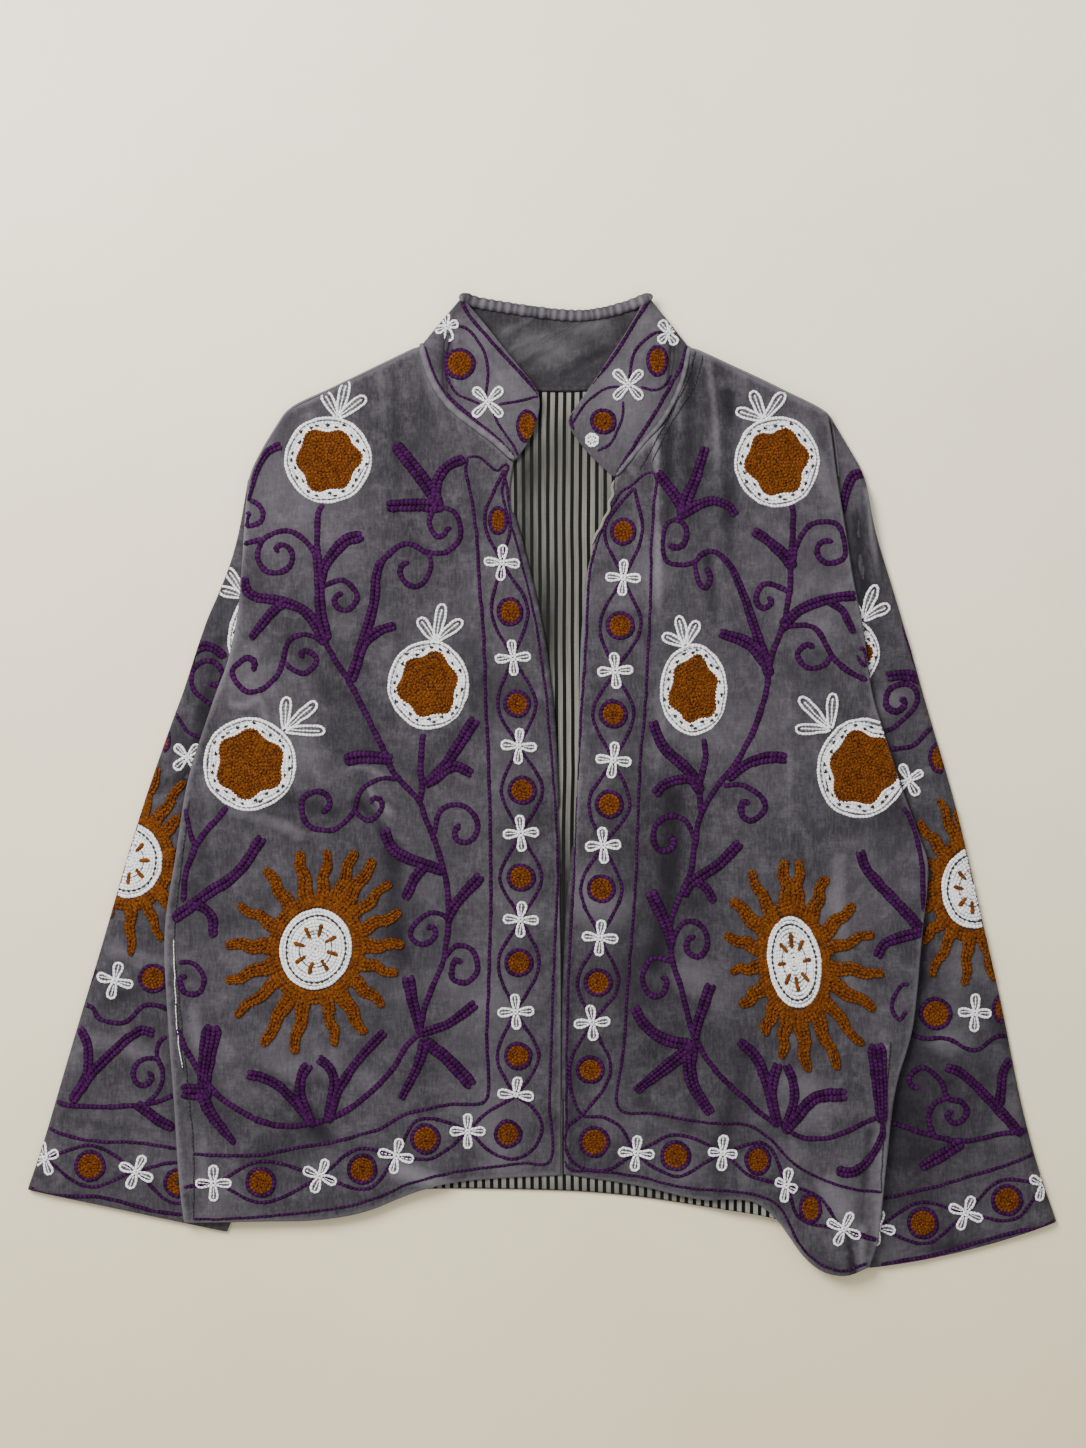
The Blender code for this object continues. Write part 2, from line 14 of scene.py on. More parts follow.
import bmesh
import bpy
import numpy as np
from bpy.types import Material, Mesh, Node, NodeSocket, Object
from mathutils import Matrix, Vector, noise
from mathutils.bvhtree import BVHTree
from mathutils.geometry import delaunay_2d_cdt
from mathutils.kdtree import KDTree

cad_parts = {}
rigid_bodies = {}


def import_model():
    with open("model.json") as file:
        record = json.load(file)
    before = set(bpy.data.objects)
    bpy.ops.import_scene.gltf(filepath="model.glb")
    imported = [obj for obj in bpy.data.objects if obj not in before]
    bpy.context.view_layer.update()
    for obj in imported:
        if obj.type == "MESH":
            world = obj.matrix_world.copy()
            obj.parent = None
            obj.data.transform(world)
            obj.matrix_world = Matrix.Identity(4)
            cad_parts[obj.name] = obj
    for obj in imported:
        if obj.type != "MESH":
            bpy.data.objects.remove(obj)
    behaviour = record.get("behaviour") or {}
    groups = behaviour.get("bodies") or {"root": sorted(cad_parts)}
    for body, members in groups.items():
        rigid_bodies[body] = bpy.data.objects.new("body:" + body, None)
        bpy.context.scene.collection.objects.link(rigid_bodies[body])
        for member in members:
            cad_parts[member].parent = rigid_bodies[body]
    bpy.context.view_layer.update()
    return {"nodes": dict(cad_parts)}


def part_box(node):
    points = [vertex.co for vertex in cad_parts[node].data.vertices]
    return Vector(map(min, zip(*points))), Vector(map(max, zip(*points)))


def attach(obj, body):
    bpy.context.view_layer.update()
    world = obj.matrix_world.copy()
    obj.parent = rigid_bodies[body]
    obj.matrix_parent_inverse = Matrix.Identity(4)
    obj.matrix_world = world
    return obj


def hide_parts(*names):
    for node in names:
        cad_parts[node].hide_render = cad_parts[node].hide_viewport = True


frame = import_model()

MM = 0.001
PHOTO_WIDTH = 1086
PHOTO_HEIGHT = 1448
PIXEL = 0.78 * MM
MIDDLE_X = 542.0
MIDDLE_Y = 784.75
CURVE_PARTS = 12
WELD = 0.01 * MM
SKY = 0.2
OVERLAP = 1.3
DOWN = Vector((0.0, 0.0, -1.0))

log = logging.getLogger("jacket")

Points = np.ndarray
Colour = tuple[float, float, float, float]
Place = tuple[float, float]
Way = Sequence[Place]


class Slot(Enum):
    """The record's material slots."""

    VELVET = "velvet"
    FACING = "facing"
    LINING = "lining"


def at(x: float, y: float) -> Place:
    """Turns a place in the photograph into a place on the surface.

    Args:
        x: Pixels from the photograph's left edge.
        y: Pixels from its top edge.

    Returns:
        The place in metres, in the frame.
    """
    return (x - MIDDLE_X) * PIXEL, (MIDDLE_Y - y) * PIXEL


def places(way: Way) -> Points:
    """Turns several places in the photograph into metres."""
    return np.array([at(x, y) for x, y in way])


def left_of(run: Points) -> Points:
    """The direction to the left of a run, one unit long."""
    return np.array([-run[1], run[0]]) / np.linalg.norm(run)


def rounded(share: np.ndarray) -> np.ndarray:
    """How wide a round end is at a share of its length, both from 0 to 1."""
    return np.sqrt(1.0 - (1.0 - np.clip(share, 0.0, 1.0)) ** 2)


def from_ends(count: int) -> np.ndarray:
    """How far each point of a row is from the nearer end, in points."""
    return np.minimum(np.arange(count), np.arange(count)[::-1])


def course(path: Points, closed: bool = False) -> tuple[Points, Points]:
    """Follows a path.

    Args:
        path: Its points in order.
        closed: Whether it returns to its start.

    Returns:
        The direction of the path at each point, and the one to its left, each one unit long.
    """
    if closed:
        run = np.roll(path, -1, axis=0) - np.roll(path, 1, axis=0)
    else:
        run = np.gradient(path, axis=0)
    run = run / np.maximum(np.linalg.norm(run, axis=1), 1e-9)[:, None]
    return run, np.column_stack([-run[:, 1], run[:, 0]])


def smooth_path(points: Points, step: float, closed: bool = False) -> Points:
    """Draws a smooth curve through points and divides it evenly.

    Args:
        points: The places that the curve passes through.
        step: About how far apart the new points lie.
        closed: Whether the curve returns to its start.

    Returns:
        The new points, without a repeated last one where the curve is closed.
    """
    given = np.asarray(points, dtype=float)
    if closed:
        padded = np.vstack([given[-1], given, given[:2]])
    else:
        padded = np.vstack([2 * given[0] - given[1], given, 2 * given[-1] - given[-2]])
    share = np.linspace(0.0, 1.0, CURVE_PARTS, endpoint=False)[:, None]
    fine = []
    gaps = np.sqrt(np.linalg.norm(np.diff(padded, axis=0), axis=1))
    for k in range(1, len(padded) - 2):
        before, start, end, after = padded[k - 1:k + 3]
        first, middle, last = gaps[k - 1:k + 2]
        run = end - start
        leave = run + middle * ((start - before) / first - (end - before) / (first + middle))
        arrive = run + middle * ((after - end) / last - (after - start) / (middle + last))
        bend = (3 * run - 2 * leave - arrive) * share**2
        fine.append(start + leave * share + bend + (leave + arrive - 2 * run) * share**3)
    fine.append(given[:1] if closed else given[-1:])
    line = np.vstack(fine)
    length = np.concatenate([[0.0], np.cumsum(np.linalg.norm(np.diff(line, axis=0), axis=1))])
    count = max(2, round(length[-1] / step))
    stops = np.linspace(0.0, length[-1], count + 1)
    even = np.column_stack([np.interp(stops, length, column) for column in line.T])
    return even[:-1] if closed else even


def inside(points: Points, border: Points) -> np.ndarray:
    """Says of each point whether it lies inside a closed outline."""
    x, y = points[:, 0], points[:, 1]
    crossings = np.zeros(len(points), dtype=int)
    for start, end in zip(border, np.roll(border, -1, axis=0)):
        if start[1] != end[1]:
            spans = (start[1] > y) != (end[1] > y)
            share = (y - start[1]) / (end[1] - start[1])
            crossings += spans & (x < start[0] + share * (end[0] - start[0]))
    return crossings % 2 == 1


def away_from(points: Points, path: Points) -> tuple[np.ndarray, np.ndarray]:
    """Measures from points to a path.

    Args:
        points: The points.
        path: The path, as points in order.

    Returns:
        Each point's distance to the path, and how far along the path its nearest place is, from 0 to 1.
    """
    away = np.full(len(points), np.inf)
    along = np.zeros(len(points))
    for number, (start, end) in enumerate(zip(path, path[1:])):
        run = end - start
        share = np.clip((points - start) @ run / (run @ run), 0.0, 1.0)
        distance = np.linalg.norm(points - start - share[:, None] * run, axis=1)
        closer = distance < away
        away[closer] = distance[closer]
        along[closer] = (number + share[closer]) / (len(path) - 1)
    return away, along


def ring_faces(count: int, wide: int, closed: bool = False, tube: bool = False) -> np.ndarray:
    """Joins rings of points by faces of four corners.

    Args:
        count: How many rings there are.
        wide: How many points each has.
        closed: Whether the last ring is joined to the first.
        tube: Whether each ring's last point is joined to its first.

    Returns:
        The corners of each face.
    """
    ring = np.arange(count if closed else count - 1)[:, None] * wide
    after = (ring + wide) % (count * wide)
    column = np.arange(wide if tube else wide - 1)
    beside = (column + 1) % wide
    corners = (ring + column, after + column, after + beside, ring + beside)
    return np.column_stack([corner.ravel() for corner in corners])


def tree_of(pieces: Iterable[Object]) -> tuple[BVHTree, list[int]]:
    """Gathers pieces' faces for casting rays at them.

    Args:
        pieces: The pieces.

    Returns:
        The tree of all their faces, and where each piece's faces end in it.
    """
    points, faces, ends = [], [], []
    for piece in pieces:
        start = len(points)
        points += [vert.co for vert in piece.data.vertices]
        faces += [tuple(start + k for k in face.vertices) for face in piece.data.polygons]
        ends.append(len(faces))
    return BVHTree.FromPolygons(points, faces), ends


def drop(tree: BVHTree, points: Points) -> tuple[np.ndarray, np.ndarray]:
    """Lets a ray fall at each point.

    Args:
        tree: The faces that it falls on.
        points: The points, seen from above.

    Returns:
        The height at which each ray lands and the number of its face, or 0 and -1 where it misses.
    """
    heights, hit = np.zeros(len(points)), np.full(len(points), -1)
    for number, (x, y) in enumerate(points.tolist()):
        spot, _, face, _ = tree.ray_cast((x, y, SKY), DOWN)
        if face is not None:
            heights[number], hit[number] = spot.z, face
    return heights, hit


def store(mesh: Mesh, name: str, values: np.ndarray) -> None:
    """Keeps a number for each point of a mesh, for its material to read."""
    kept = mesh.attributes.new(name, "FLOAT", "POINT")
    kept.data.foreach_set("value", np.asarray(values, dtype=np.float32))


def added(name: str, data: bpy.types.ID) -> Object:
    """Adds an object to the scene."""
    thing = bpy.data.objects.new(name, data)
    bpy.context.scene.collection.objects.link(thing)
    return thing


def new_object(name: str, mesh: Mesh, material: Material) -> Object:
    """Adds a mesh to the scene, shaded smooth, with one material."""
    mesh.materials.clear()
    mesh.materials.append(material)
    mesh.shade_smooth()
    return added(name, mesh)


def dress(piece: Object, nodes: Sequence[str] = ()) -> Object:
    """Fastens a piece to the jacket's body and hides the nodes that it stands for."""
    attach(piece, "root")
    if nodes:
        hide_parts(*nodes)
    log.info("%s: %d faces", piece.name, len(piece.data.polygons))
    return piece


@dataclass(frozen=True)
class Crease:
    """A soft ridge in the cloth, or a trough where its height is below nought.

    The two ends are places in the photograph. Bend pushes the middle to the left of the way from start to
    end, reach is half the width at the foot, and both are in millimetres, as the height is.
    """

    start: Place
    end: Place
    height: float
    reach: float
    bend: float = 0.0
    end_height: float | None = None

    def path(self) -> Points:
        """The crease's crest, as a bowed line of points."""
        start, end = places([self.start, self.end])
        share = np.linspace(0.0, 1.0, 9)[:, None]
        return start + (end - start) * share + left_of(end - start) * 4 * self.bend * MM * share * (1 - share)

    def lift(self, points: Points) -> np.ndarray:
        """How far the crease lifts each point, in metres."""
        away, along = away_from(points, self.path())
        last = self.height if self.end_height is None else self.end_height
        height = (self.height + (last - self.height) * along) * MM
        return height * np.clip(1.0 - (away / (self.reach * MM)) ** 2, 0.0, 1.0) ** 2


@dataclass(frozen=True)
class Ripple:
    """An uneven, soft waviness of the whole cloth; sizes in millimetres."""

    length: float
    height: float
    seed: float

    def lift(self, points: Points) -> np.ndarray:
        """How far the waviness lifts each point, in metres."""
        scaled = points / (self.length * MM)
        return np.array([noise.noise(Vector((x, y, self.seed))) for x, y in scaled]) * self.height * MM


@dataclass(frozen=True)
class Patch:
    """A soft patch of painted shadow, or of painted light where its tone is above nought, on the cloth.

    Its middle, half width and half height are in the photograph's pixels. Its tone runs from -1, dark, to 1,
    pale.
    """

    x: float
    y: float
    across: float
    along: float
    tone: float

    def shade(self, points: Points) -> np.ndarray:
        """How much painted shade or painted light the patch lays on each point."""
        off = (points - np.array(at(self.x, self.y))) / (np.array([self.across, self.along]) * PIXEL)
        return self.tone * np.exp(-np.sum(off**2, axis=1))


@dataclass
class Cloth:
    """A cut of cloth over its CAD node, with its creases, its waviness and its patches of painted shade and
    painted light.
    """

    node: str
    slot: Slot
    creases: Sequence[Crease] = ()
    ripples: Sequence[Ripple] = ()
    patches: Sequence[Patch] = ()

    def build(self, material: Material) -> Object:
        """Builds the piece that stands for the node.

        Args:
            material: The cloth's finish.

        Returns:
            The finished piece.
        """
        mesh = self.shaped()
        mesh.name = f"{self.node}_cloth"
        return dress(new_object(mesh.name, mesh, material), [self.node])

    def shaped(self) -> Mesh:
        """The piece's mesh, which each kind of cloth makes in its own way."""
        raise NotImplementedError

    def node_mesh(self) -> bmesh.types.BMesh:
        """The node's faces, joined where their corners meet."""
        mesh = bmesh.new()
        mesh.from_mesh(frame["nodes"][self.node].data)
        bmesh.ops.remove_doubles(mesh, verts=mesh.verts, dist=WELD)
        return mesh

    def lift(self, points: Points) -> np.ndarray:
        """How far the creases and the waviness lift each point, in metres."""
        return sum((part.lift(points) for part in [*self.creases, *self.ripples]), np.zeros(len(points)))

    def mark(self, mesh: Mesh, points: Points, lift: np.ndarray, rim: np.ndarray) -> None:
        """Keeps how proud each point stands, its painted shade and light, and how near a rim it is, for the
        finish.
        """
        store(mesh, "proud", lift / MM)
        store(mesh, "shade", sum((patch.shade(points) for patch in self.patches), np.zeros(len(points))))
        store(mesh, "rim", rim)


class TopField:
    """The top of a laid piece as a smooth grid of heights."""

    cell = 3.0 * MM

    def __init__(self, node: str, softness: float) -> None:
        """Reads the heights.

        Args:
            node: The CAD node.
            softness: How far each height is mixed with those around it.
        """
        margin, spread = 4 * self.cell, softness / self.cell
        low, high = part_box(node)
        self.x = np.arange(low[0] - margin, high[0] + margin, self.cell)
        self.y = np.arange(low[1] - margin, high[1] + margin, self.cell)
        across, along = np.meshgrid(self.x, self.y, indexing="ij")
        tree, _ = tree_of([frame["nodes"][node]])
        heights, hit = drop(tree, np.column_stack([across.ravel(), along.ravel()]))
        known = (hit >= 0).astype(float).reshape(across.shape)
        heights = self.blurred(heights.reshape(across.shape), spread)
        self.grid = heights / np.maximum(self.blurred(known, spread), 1e-6)

    @staticmethod
    def blurred(grid: np.ndarray, spread: float) -> np.ndarray:
        """A grid mixed with its neighbours, with a bell-shaped weight."""
        reach = math.ceil(3 * spread)
        weights = np.exp(-0.5 * (np.arange(-reach, reach + 1) / spread) ** 2)
        weights /= weights.sum()
        for axis in (0, 1):
            grid = np.apply_along_axis(np.convolve, axis, grid, weights, "same")
        return grid

    def read(self, points: Points) -> np.ndarray:
        """The height at each point."""
        s = np.clip((points[:, 0] - self.x[0]) / self.cell, 0, len(self.x) - 1.001)
        t = np.clip((points[:, 1] - self.y[0]) / self.cell, 0, len(self.y) - 1.001)
        i, j = s.astype(int), t.astype(int)
        s, t = s - i, t - j
        near = self.grid[i, j] * (1 - s) + self.grid[i + 1, j] * s
        far = self.grid[i, j + 1] * (1 - s) + self.grid[i + 1, j + 1] * s
        return near * (1 - t) + far * t


def rounded_between_corners(ring: Points, step: float, sharp: float = 33.0) -> Points:
    """Makes a closed outline smooth, but for its sharp corners.

    Args:
        ring: The outline's points.
        step: How far apart the new points lie.
        sharp: The least turn at a corner, in degrees.

    Returns:
        The new outline.
    """
    before, after = ring - np.roll(ring, 1, axis=0), np.roll(ring, -1, axis=0) - ring
    cross = before[:, 0] * after[:, 1] - before[:, 1] * after[:, 0]
    corners = np.flatnonzero(np.abs(np.arctan2(cross, np.sum(before * after, axis=1))) > math.radians(sharp))
    ring = np.roll(ring, -corners[0], axis=0)
    corners = [*(corners - corners[0]), len(ring)]
    closed = np.vstack([ring, ring[:1]])
    stretches = [smooth_path(closed[a:b + 1], step)[:-1] for a, b in zip(corners, corners[1:])]
    return np.vstack(stretches)


def inset(border: Points, distance: float) -> Points:
    """An outline that runs anticlockwise, moved inwards."""
    return border + course(border, True)[1] * distance


def staggered(border: Points, step: float, clear: float) -> Points:
    """A staggered net of points inside an outline, `clear` of its points."""
    low, high = border.min(axis=0), border.max(axis=0)
    rows = []
    for number, y in enumerate(np.arange(low[1], high[1], step * math.sqrt(3) / 2)):
        x = np.arange(low[0] + step / 2 * (number % 2), high[0], step)
        rows.append(np.column_stack([x, np.full(len(x), y)]))
    points = np.vstack(rows)
    points = points[inside(points, border)]
    apart = [np.min(np.hypot(border[:, 0] - x, border[:, 1] - y)) for x, y in points]
    return points[np.array(apart) > clear]


@dataclass
class LaidSheet(Cloth):
    """A flat cut of cloth that lies on the pile, with a rolled edge and creases pressed into its top.

    Attributes:
        wall: The cloth's thickness.
        step: How far apart the points of its net lie.
        softness: How far the steps of what it lies on are smoothed in its top.
        edge: How wide its rolled edge is.
        trim: How much narrower it is than its node, all round.
        worn_and_lit: How far in from the edge the pale rim reaches, partly wear and partly painted highlight.
        least: How much of its wall the deepest trough leaves.
    """

    wall: float = 2.0 * MM
    step: float = 4.0 * MM
    softness: float = 7.0 * MM
    edge: float = 1.1 * MM
    trim: float = 0.0
    worn_and_lit: float = 2.2 * MM
    least: float = 0.45
    border: Points = field(init=False)

    def shaped(self) -> Mesh:
        """The sheet over its node, with a net of even triangles."""
        self.border = inset(self.plan_outline(), self.trim)
        rim = len(self.border)
        flat, faces = self.net()
        high = TopField(self.node, self.softness).read(flat)
        low = high - self.wall
        lift = self.lift(flat)
        high = np.maximum(high + lift, low + self.least * self.wall)
        high[:rim] = low[:rim] = (high[:rim] + low[:rim]) / 2
        mesh = self.welded(flat, high, low, faces)
        both = np.concatenate([np.arange(len(flat)), np.arange(rim, len(flat))])
        # The finish paints shade in troughs, a highlight on ridges and rims, and the patches' shade and
        # light.
        self.mark(mesh, flat[both], lift[both], self.rim_share(flat)[both])
        return mesh

    def plan_outline(self) -> Points:
        """The node's outline from above, smooth between its corners, without a repeated last point."""
        mesh = self.node_mesh()
        upper = {face for face in mesh.faces if face.normal.z > 0.5}
        follows = {}
        for face in upper:
            for corner in face.loops:
                if sum(other in upper for other in corner.edge.link_faces) == 1:
                    follows[corner.vert] = corner.link_loop_next.vert
        start = next(iter(follows))
        ring = [start]
        while follows[ring[-1]] is not start:
            ring.append(follows[ring[-1]])
        corners = np.array([vert.co.xy for vert in ring])
        mesh.free()
        return rounded_between_corners(corners, self.step)

    def net(self) -> tuple[Points, list[list[int]]]:
        """The points of the sheet from above, those of its rim first, and the triangles between them."""
        rim = len(self.border)
        roll = inset(self.border, self.edge)
        flat = np.vstack([self.border, roll, staggered(roll, self.step, 0.75 * self.step)])
        edges = [(k, (k + 1) % rim) for k in range(rim)]
        placed, _, faces, *_ = delaunay_2d_cdt([Vector(point) for point in flat], edges, [], 1, 1e-7)
        return np.array([tuple(point) for point in placed]), faces

    def rim_share(self, points: Points) -> np.ndarray:
        """How near each point lies to the edge: 1 on it, and falling off with its distance."""
        tree = KDTree(len(self.border))
        for number, (x, y) in enumerate(self.border.tolist()):
            tree.insert((x, y, 0.0), number)
        tree.balance()
        away = np.array([tree.find((x, y, 0.0))[2] for x, y in points.tolist()])
        return np.exp(-(away / self.worn_and_lit) ** 2)

    def welded(self, flat: Points, high: np.ndarray, low: np.ndarray, faces: list[list[int]]) -> Mesh:
        """Joins the top and the underside of the sheet at its rim.

        Args:
            flat: The points from above.
            high: The height of each point on the top.
            low: The height of each point on the underside.
            faces: The triangles of the net.

        Returns:
            The closed mesh.
        """
        rim, count = len(self.border), len(flat)
        points = np.vstack([np.column_stack([flat, high]), np.column_stack([flat[rim:], low[rim:]])])
        shapes = []
        for face in faces:
            a, b, c = (flat[k] for k in face)
            if (b[0] - a[0]) * (c[1] - a[1]) < (b[1] - a[1]) * (c[0] - a[0]):
                face = face[::-1]
            shapes.append(tuple(face))
            shapes.append(tuple(k if k < rim else k + count - rim for k in reversed(face)))
        mesh = bpy.data.meshes.new("sheet")
        mesh.from_pydata(points.tolist(), [], shapes)
        return mesh


@dataclass
class FoldedShell(Cloth):
    """A sleeve or a band of the collar: the CAD wall made smooth, with creases pressed into what faces up.

    Attributes:
        levels: How often its faces are halved.
        sharp: How sharp its rims stay, from 0 to 1.
    """

    levels: int = 2
    sharp: float = 0.85
    flank = 0.8

    def shaped(self) -> Mesh:
        """The node's wall made smooth, with its creases."""
        holder = added("cage", self.cage())
        rounding = holder.modifiers.new("rounding", "SUBSURF")
        rounding.levels = rounding.render_levels = self.levels
        graph = bpy.context.evaluated_depsgraph_get()
        mesh = bpy.data.meshes.new_from_object(holder.evaluated_get(graph))
        bpy.data.objects.remove(holder)
        self.press(mesh)
        return mesh

    def cage(self) -> Mesh:
        """The node's wall as four-sided faces, with its rims marked so that they keep their place."""
        mesh = self.node_mesh()
        wide, steep = math.radians(60), math.radians(70)
        bmesh.ops.join_triangles(
            mesh, faces=mesh.faces, angle_face_threshold=wide, angle_shape_threshold=wide)
        marks = mesh.edges.layers.float.new("crease_edge")
        for edge in mesh.edges:
            if len(edge.link_faces) == 2 and edge.calc_face_angle() > steep:
                edge[marks] = self.sharp
        cage = bpy.data.meshes.new("cage")
        mesh.to_mesh(cage)
        mesh.free()
        return cage

    def press(self, mesh: Mesh) -> None:
        """Lifts what faces up by the creases and ripples."""
        points, normals = np.empty((2, len(mesh.vertices), 3))
        mesh.vertices.foreach_get("co", points.ravel())
        mesh.vertex_normals.foreach_get("vector", normals.ravel())
        facing = normals[:, 2]
        lift = self.lift(points[:, :2]) * np.clip(facing, 0.0, 1.0) ** 2
        points[:, 2] += lift
        mesh.vertices.foreach_set("co", points.ravel())
        mesh.update()
        # Steep sides count as rim, which the finish paints pale: partly wear, partly a painted highlight on
        # the folded edge.
        self.mark(mesh, points[:, :2], lift, np.clip(1.0 - np.abs(facing) / self.flank, 0.0, 1.0))


class Shader:
    """A material's nodes, added and joined in few words."""

    along = (1.0, 0.2, 1.0)
    across = (0.2, 1.0, 1.0)

    def __init__(self, name: str) -> None:
        """Starts a material with its one Principled shader."""
        self.material = bpy.data.materials.new(name)
        self.material.use_nodes = True
        self.tree = self.material.node_tree
        self.surface = self.tree.nodes["Principled BSDF"]

    def add(self, kind: str, **settings: object) -> Node:
        """Adds a node and sets its properties, or its inputs where they are named so."""
        node = self.tree.nodes.new(kind)
        for key, value in settings.items():
            if hasattr(node, key):
                setattr(node, key, value)
            else:
                node.inputs[key.replace("_", " ").title()].default_value = value
        return node

    def feed(self, sockets: Iterable[NodeSocket], *values: NodeSocket | Colour | float) -> None:
        """Joins each of a node's inputs to a socket, or gives it a value."""
        for socket, value in zip(sockets, values):
            if isinstance(value, NodeSocket):
                self.tree.links.new(value, socket)
            else:
                socket.default_value = value

    def place(self) -> NodeSocket:
        """Where a point of the cloth is, in metres."""
        return self.add("ShaderNodeTexCoord").outputs["Object"]

    def part(self, axis: str) -> NodeSocket:
        """Where a point of the cloth is along one axis, in metres."""
        split = self.add("ShaderNodeSeparateXYZ")
        self.feed(split.inputs, self.place())
        return split.outputs[axis]

    def speckle(self, scale: float, detail: float = 3.0, roughness: float = 0.55,
                squeeze: tuple[float, float, float] = (1.0, 1.0, 1.0)) -> NodeSocket:
        """An uneven pattern from 0 to 1.

        Args:
            scale: How many patches there are to the metre.
            detail: How many finer patterns are laid over the first.
            roughness: How strong these are.
            squeeze: How the count differs along each axis.

        Returns:
            The pattern's socket.
        """
        spread = self.add("ShaderNodeVectorMath", operation="MULTIPLY")
        self.feed(spread.inputs, self.place(), squeeze)
        grain = self.add("ShaderNodeTexNoise", scale=scale, detail=detail, roughness=roughness)
        self.feed(grain.inputs, spread.outputs[0])
        return grain.outputs["Fac"]

    def ranged(self, source: NodeSocket, low: float, high: float, least: float = 0.0,
               most: float = 1.0) -> NodeSocket:
        """A value read between two limits as a share between two others."""
        node = self.add("ShaderNodeMapRange")
        self.feed(node.inputs, source, low, high, least, most)
        return node.outputs["Result"]

    def maths(self, operation: str, first: NodeSocket | float, second: NodeSocket | float) -> NodeSocket:
        """Works out a sum of two sockets or numbers."""
        node = self.add("ShaderNodeMath", operation=operation)
        self.feed(node.inputs, first, second)
        return node.outputs[0]

    def blend(self, share: NodeSocket, first: NodeSocket | Colour, second: NodeSocket | Colour,
              way: str = "MIX") -> NodeSocket:
        """Mixes two colours, each a socket or four numbers."""
        node = self.add("ShaderNodeMix", data_type="RGBA", blend_type=way)
        self.feed([node.inputs[k] for k in (0, 6, 7)], share, first, second)
        return node.outputs[2]

    def coat(self, under: NodeSocket | Colour, over: Colour, source: NodeSocket, low: float, high: float,
             most: float = 1.0) -> NodeSocket:
        """Lays one colour over another, more of it as a value goes from low to high.

        Args:
            under: The colour below.
            over: The colour that is laid over it.
            source: The value.
            low: Where the upper colour starts to show.
            high: Where most of it shows.
            most: How much of it shows there.

        Returns:
            The mixed colour.
        """
        return self.blend(self.ranged(source, low, high, 0.0, most), under, over)

    def noted(self, name: str) -> NodeSocket:
        """The number that a mesh keeps for each of its points."""
        return self.add("ShaderNodeAttribute", attribute_name=name).outputs["Fac"]

    def bump(self, height: NodeSocket, distance: float, strength: float,
             under: NodeSocket | None = None) -> NodeSocket:
        """A fine relief of the surface, over another where one is given."""
        node = self.add("ShaderNodeBump", strength=strength, distance=distance)
        self.feed([node.inputs["Height"]], height)
        if under is not None:
            self.feed([node.inputs["Normal"]], under)
        return node.outputs["Normal"]

    def finish(self, colour: NodeSocket, normal: NodeSocket, **values: Colour | float) -> Material:
        """Joins a colour and a relief to the shader, sets its other inputs and gives the material."""
        self.feed([self.surface.inputs[name] for name in ("Base Color", "Normal")], colour, normal)
        for key, value in values.items():
            self.surface.inputs[key.replace("_", " ").title().replace("Ior", "IOR")].default_value = value
        return self.material


@dataclass(frozen=True)
class Velvet:
    """Washed cotton velvet: cool grey, mottled where its nap is crushed, with painted shade in troughs and
    shaded patches and a painted highlight on ridges, lit patches and rims, the rims partly wear.
    """

    name: str
    body: Colour
    crushed: Colour
    worn_and_lit: Colour
    shadow: Colour = (0.009, 0.0082, 0.0105, 1.0)
    sheen: Colour = (0.78, 0.75, 0.82, 1.0)

    def make(self) -> Material:
        """Makes the material."""
        shader = Shader(self.name)
        clouds, paleness = shader.speckle(13.0, 5.0, 0.62), shader.speckle(70.0, 8.0, 0.8)
        brushed = shader.speckle(620.0, 4.0, 0.7, shader.along)
        crossed = shader.speckle(520.0, 4.0, 0.7, shader.across)
        rim, shade, proud = (shader.noted(name) for name in ("rim", "shade", "proud"))
        colour = shader.coat(self.body, self.crushed, clouds, 0.34, 0.66)
        colour = shader.coat(colour, self.worn_and_lit, brushed, 0.42, 0.74, 0.22)
        colour = shader.coat(colour, self.worn_and_lit, paleness, 0.47, 0.72, 0.36)
        colour = shader.coat(colour, self.crushed, crossed, 0.45, 0.72, 0.4)
        # Painted light and shade: rims are painted pale, partly wear and partly highlight; the patches paint
        # shadow and light; troughs are painted dark as shade and ridges pale as a highlight.
        colour = shader.coat(colour, self.worn_and_lit, rim, 0.25, 1.0, 0.5)
        colour = shader.coat(colour, self.shadow, shade, 0.0, -1.0, 0.85)
        colour = shader.coat(colour, self.worn_and_lit, shade, 0.0, 1.0, 0.8)
        colour = shader.coat(colour, self.shadow, proud, -0.2, -1.5, 0.8)
        colour = shader.coat(colour, self.worn_and_lit, proud, 0.25, 2.4, 0.8)
        pile = shader.bump(shader.speckle(1500.0, 2.0), 0.35 * MM, 0.5)
        pressed = shader.bump(shader.speckle(85.0, 7.0, 0.7), 1.5 * MM, 0.7, pile)
        return shader.finish(colour, pressed, roughness=0.95, sheen_weight=0.10, sheen_roughness=0.4,
                             sheen_tint=self.sheen, specular_ior_level=0.08)


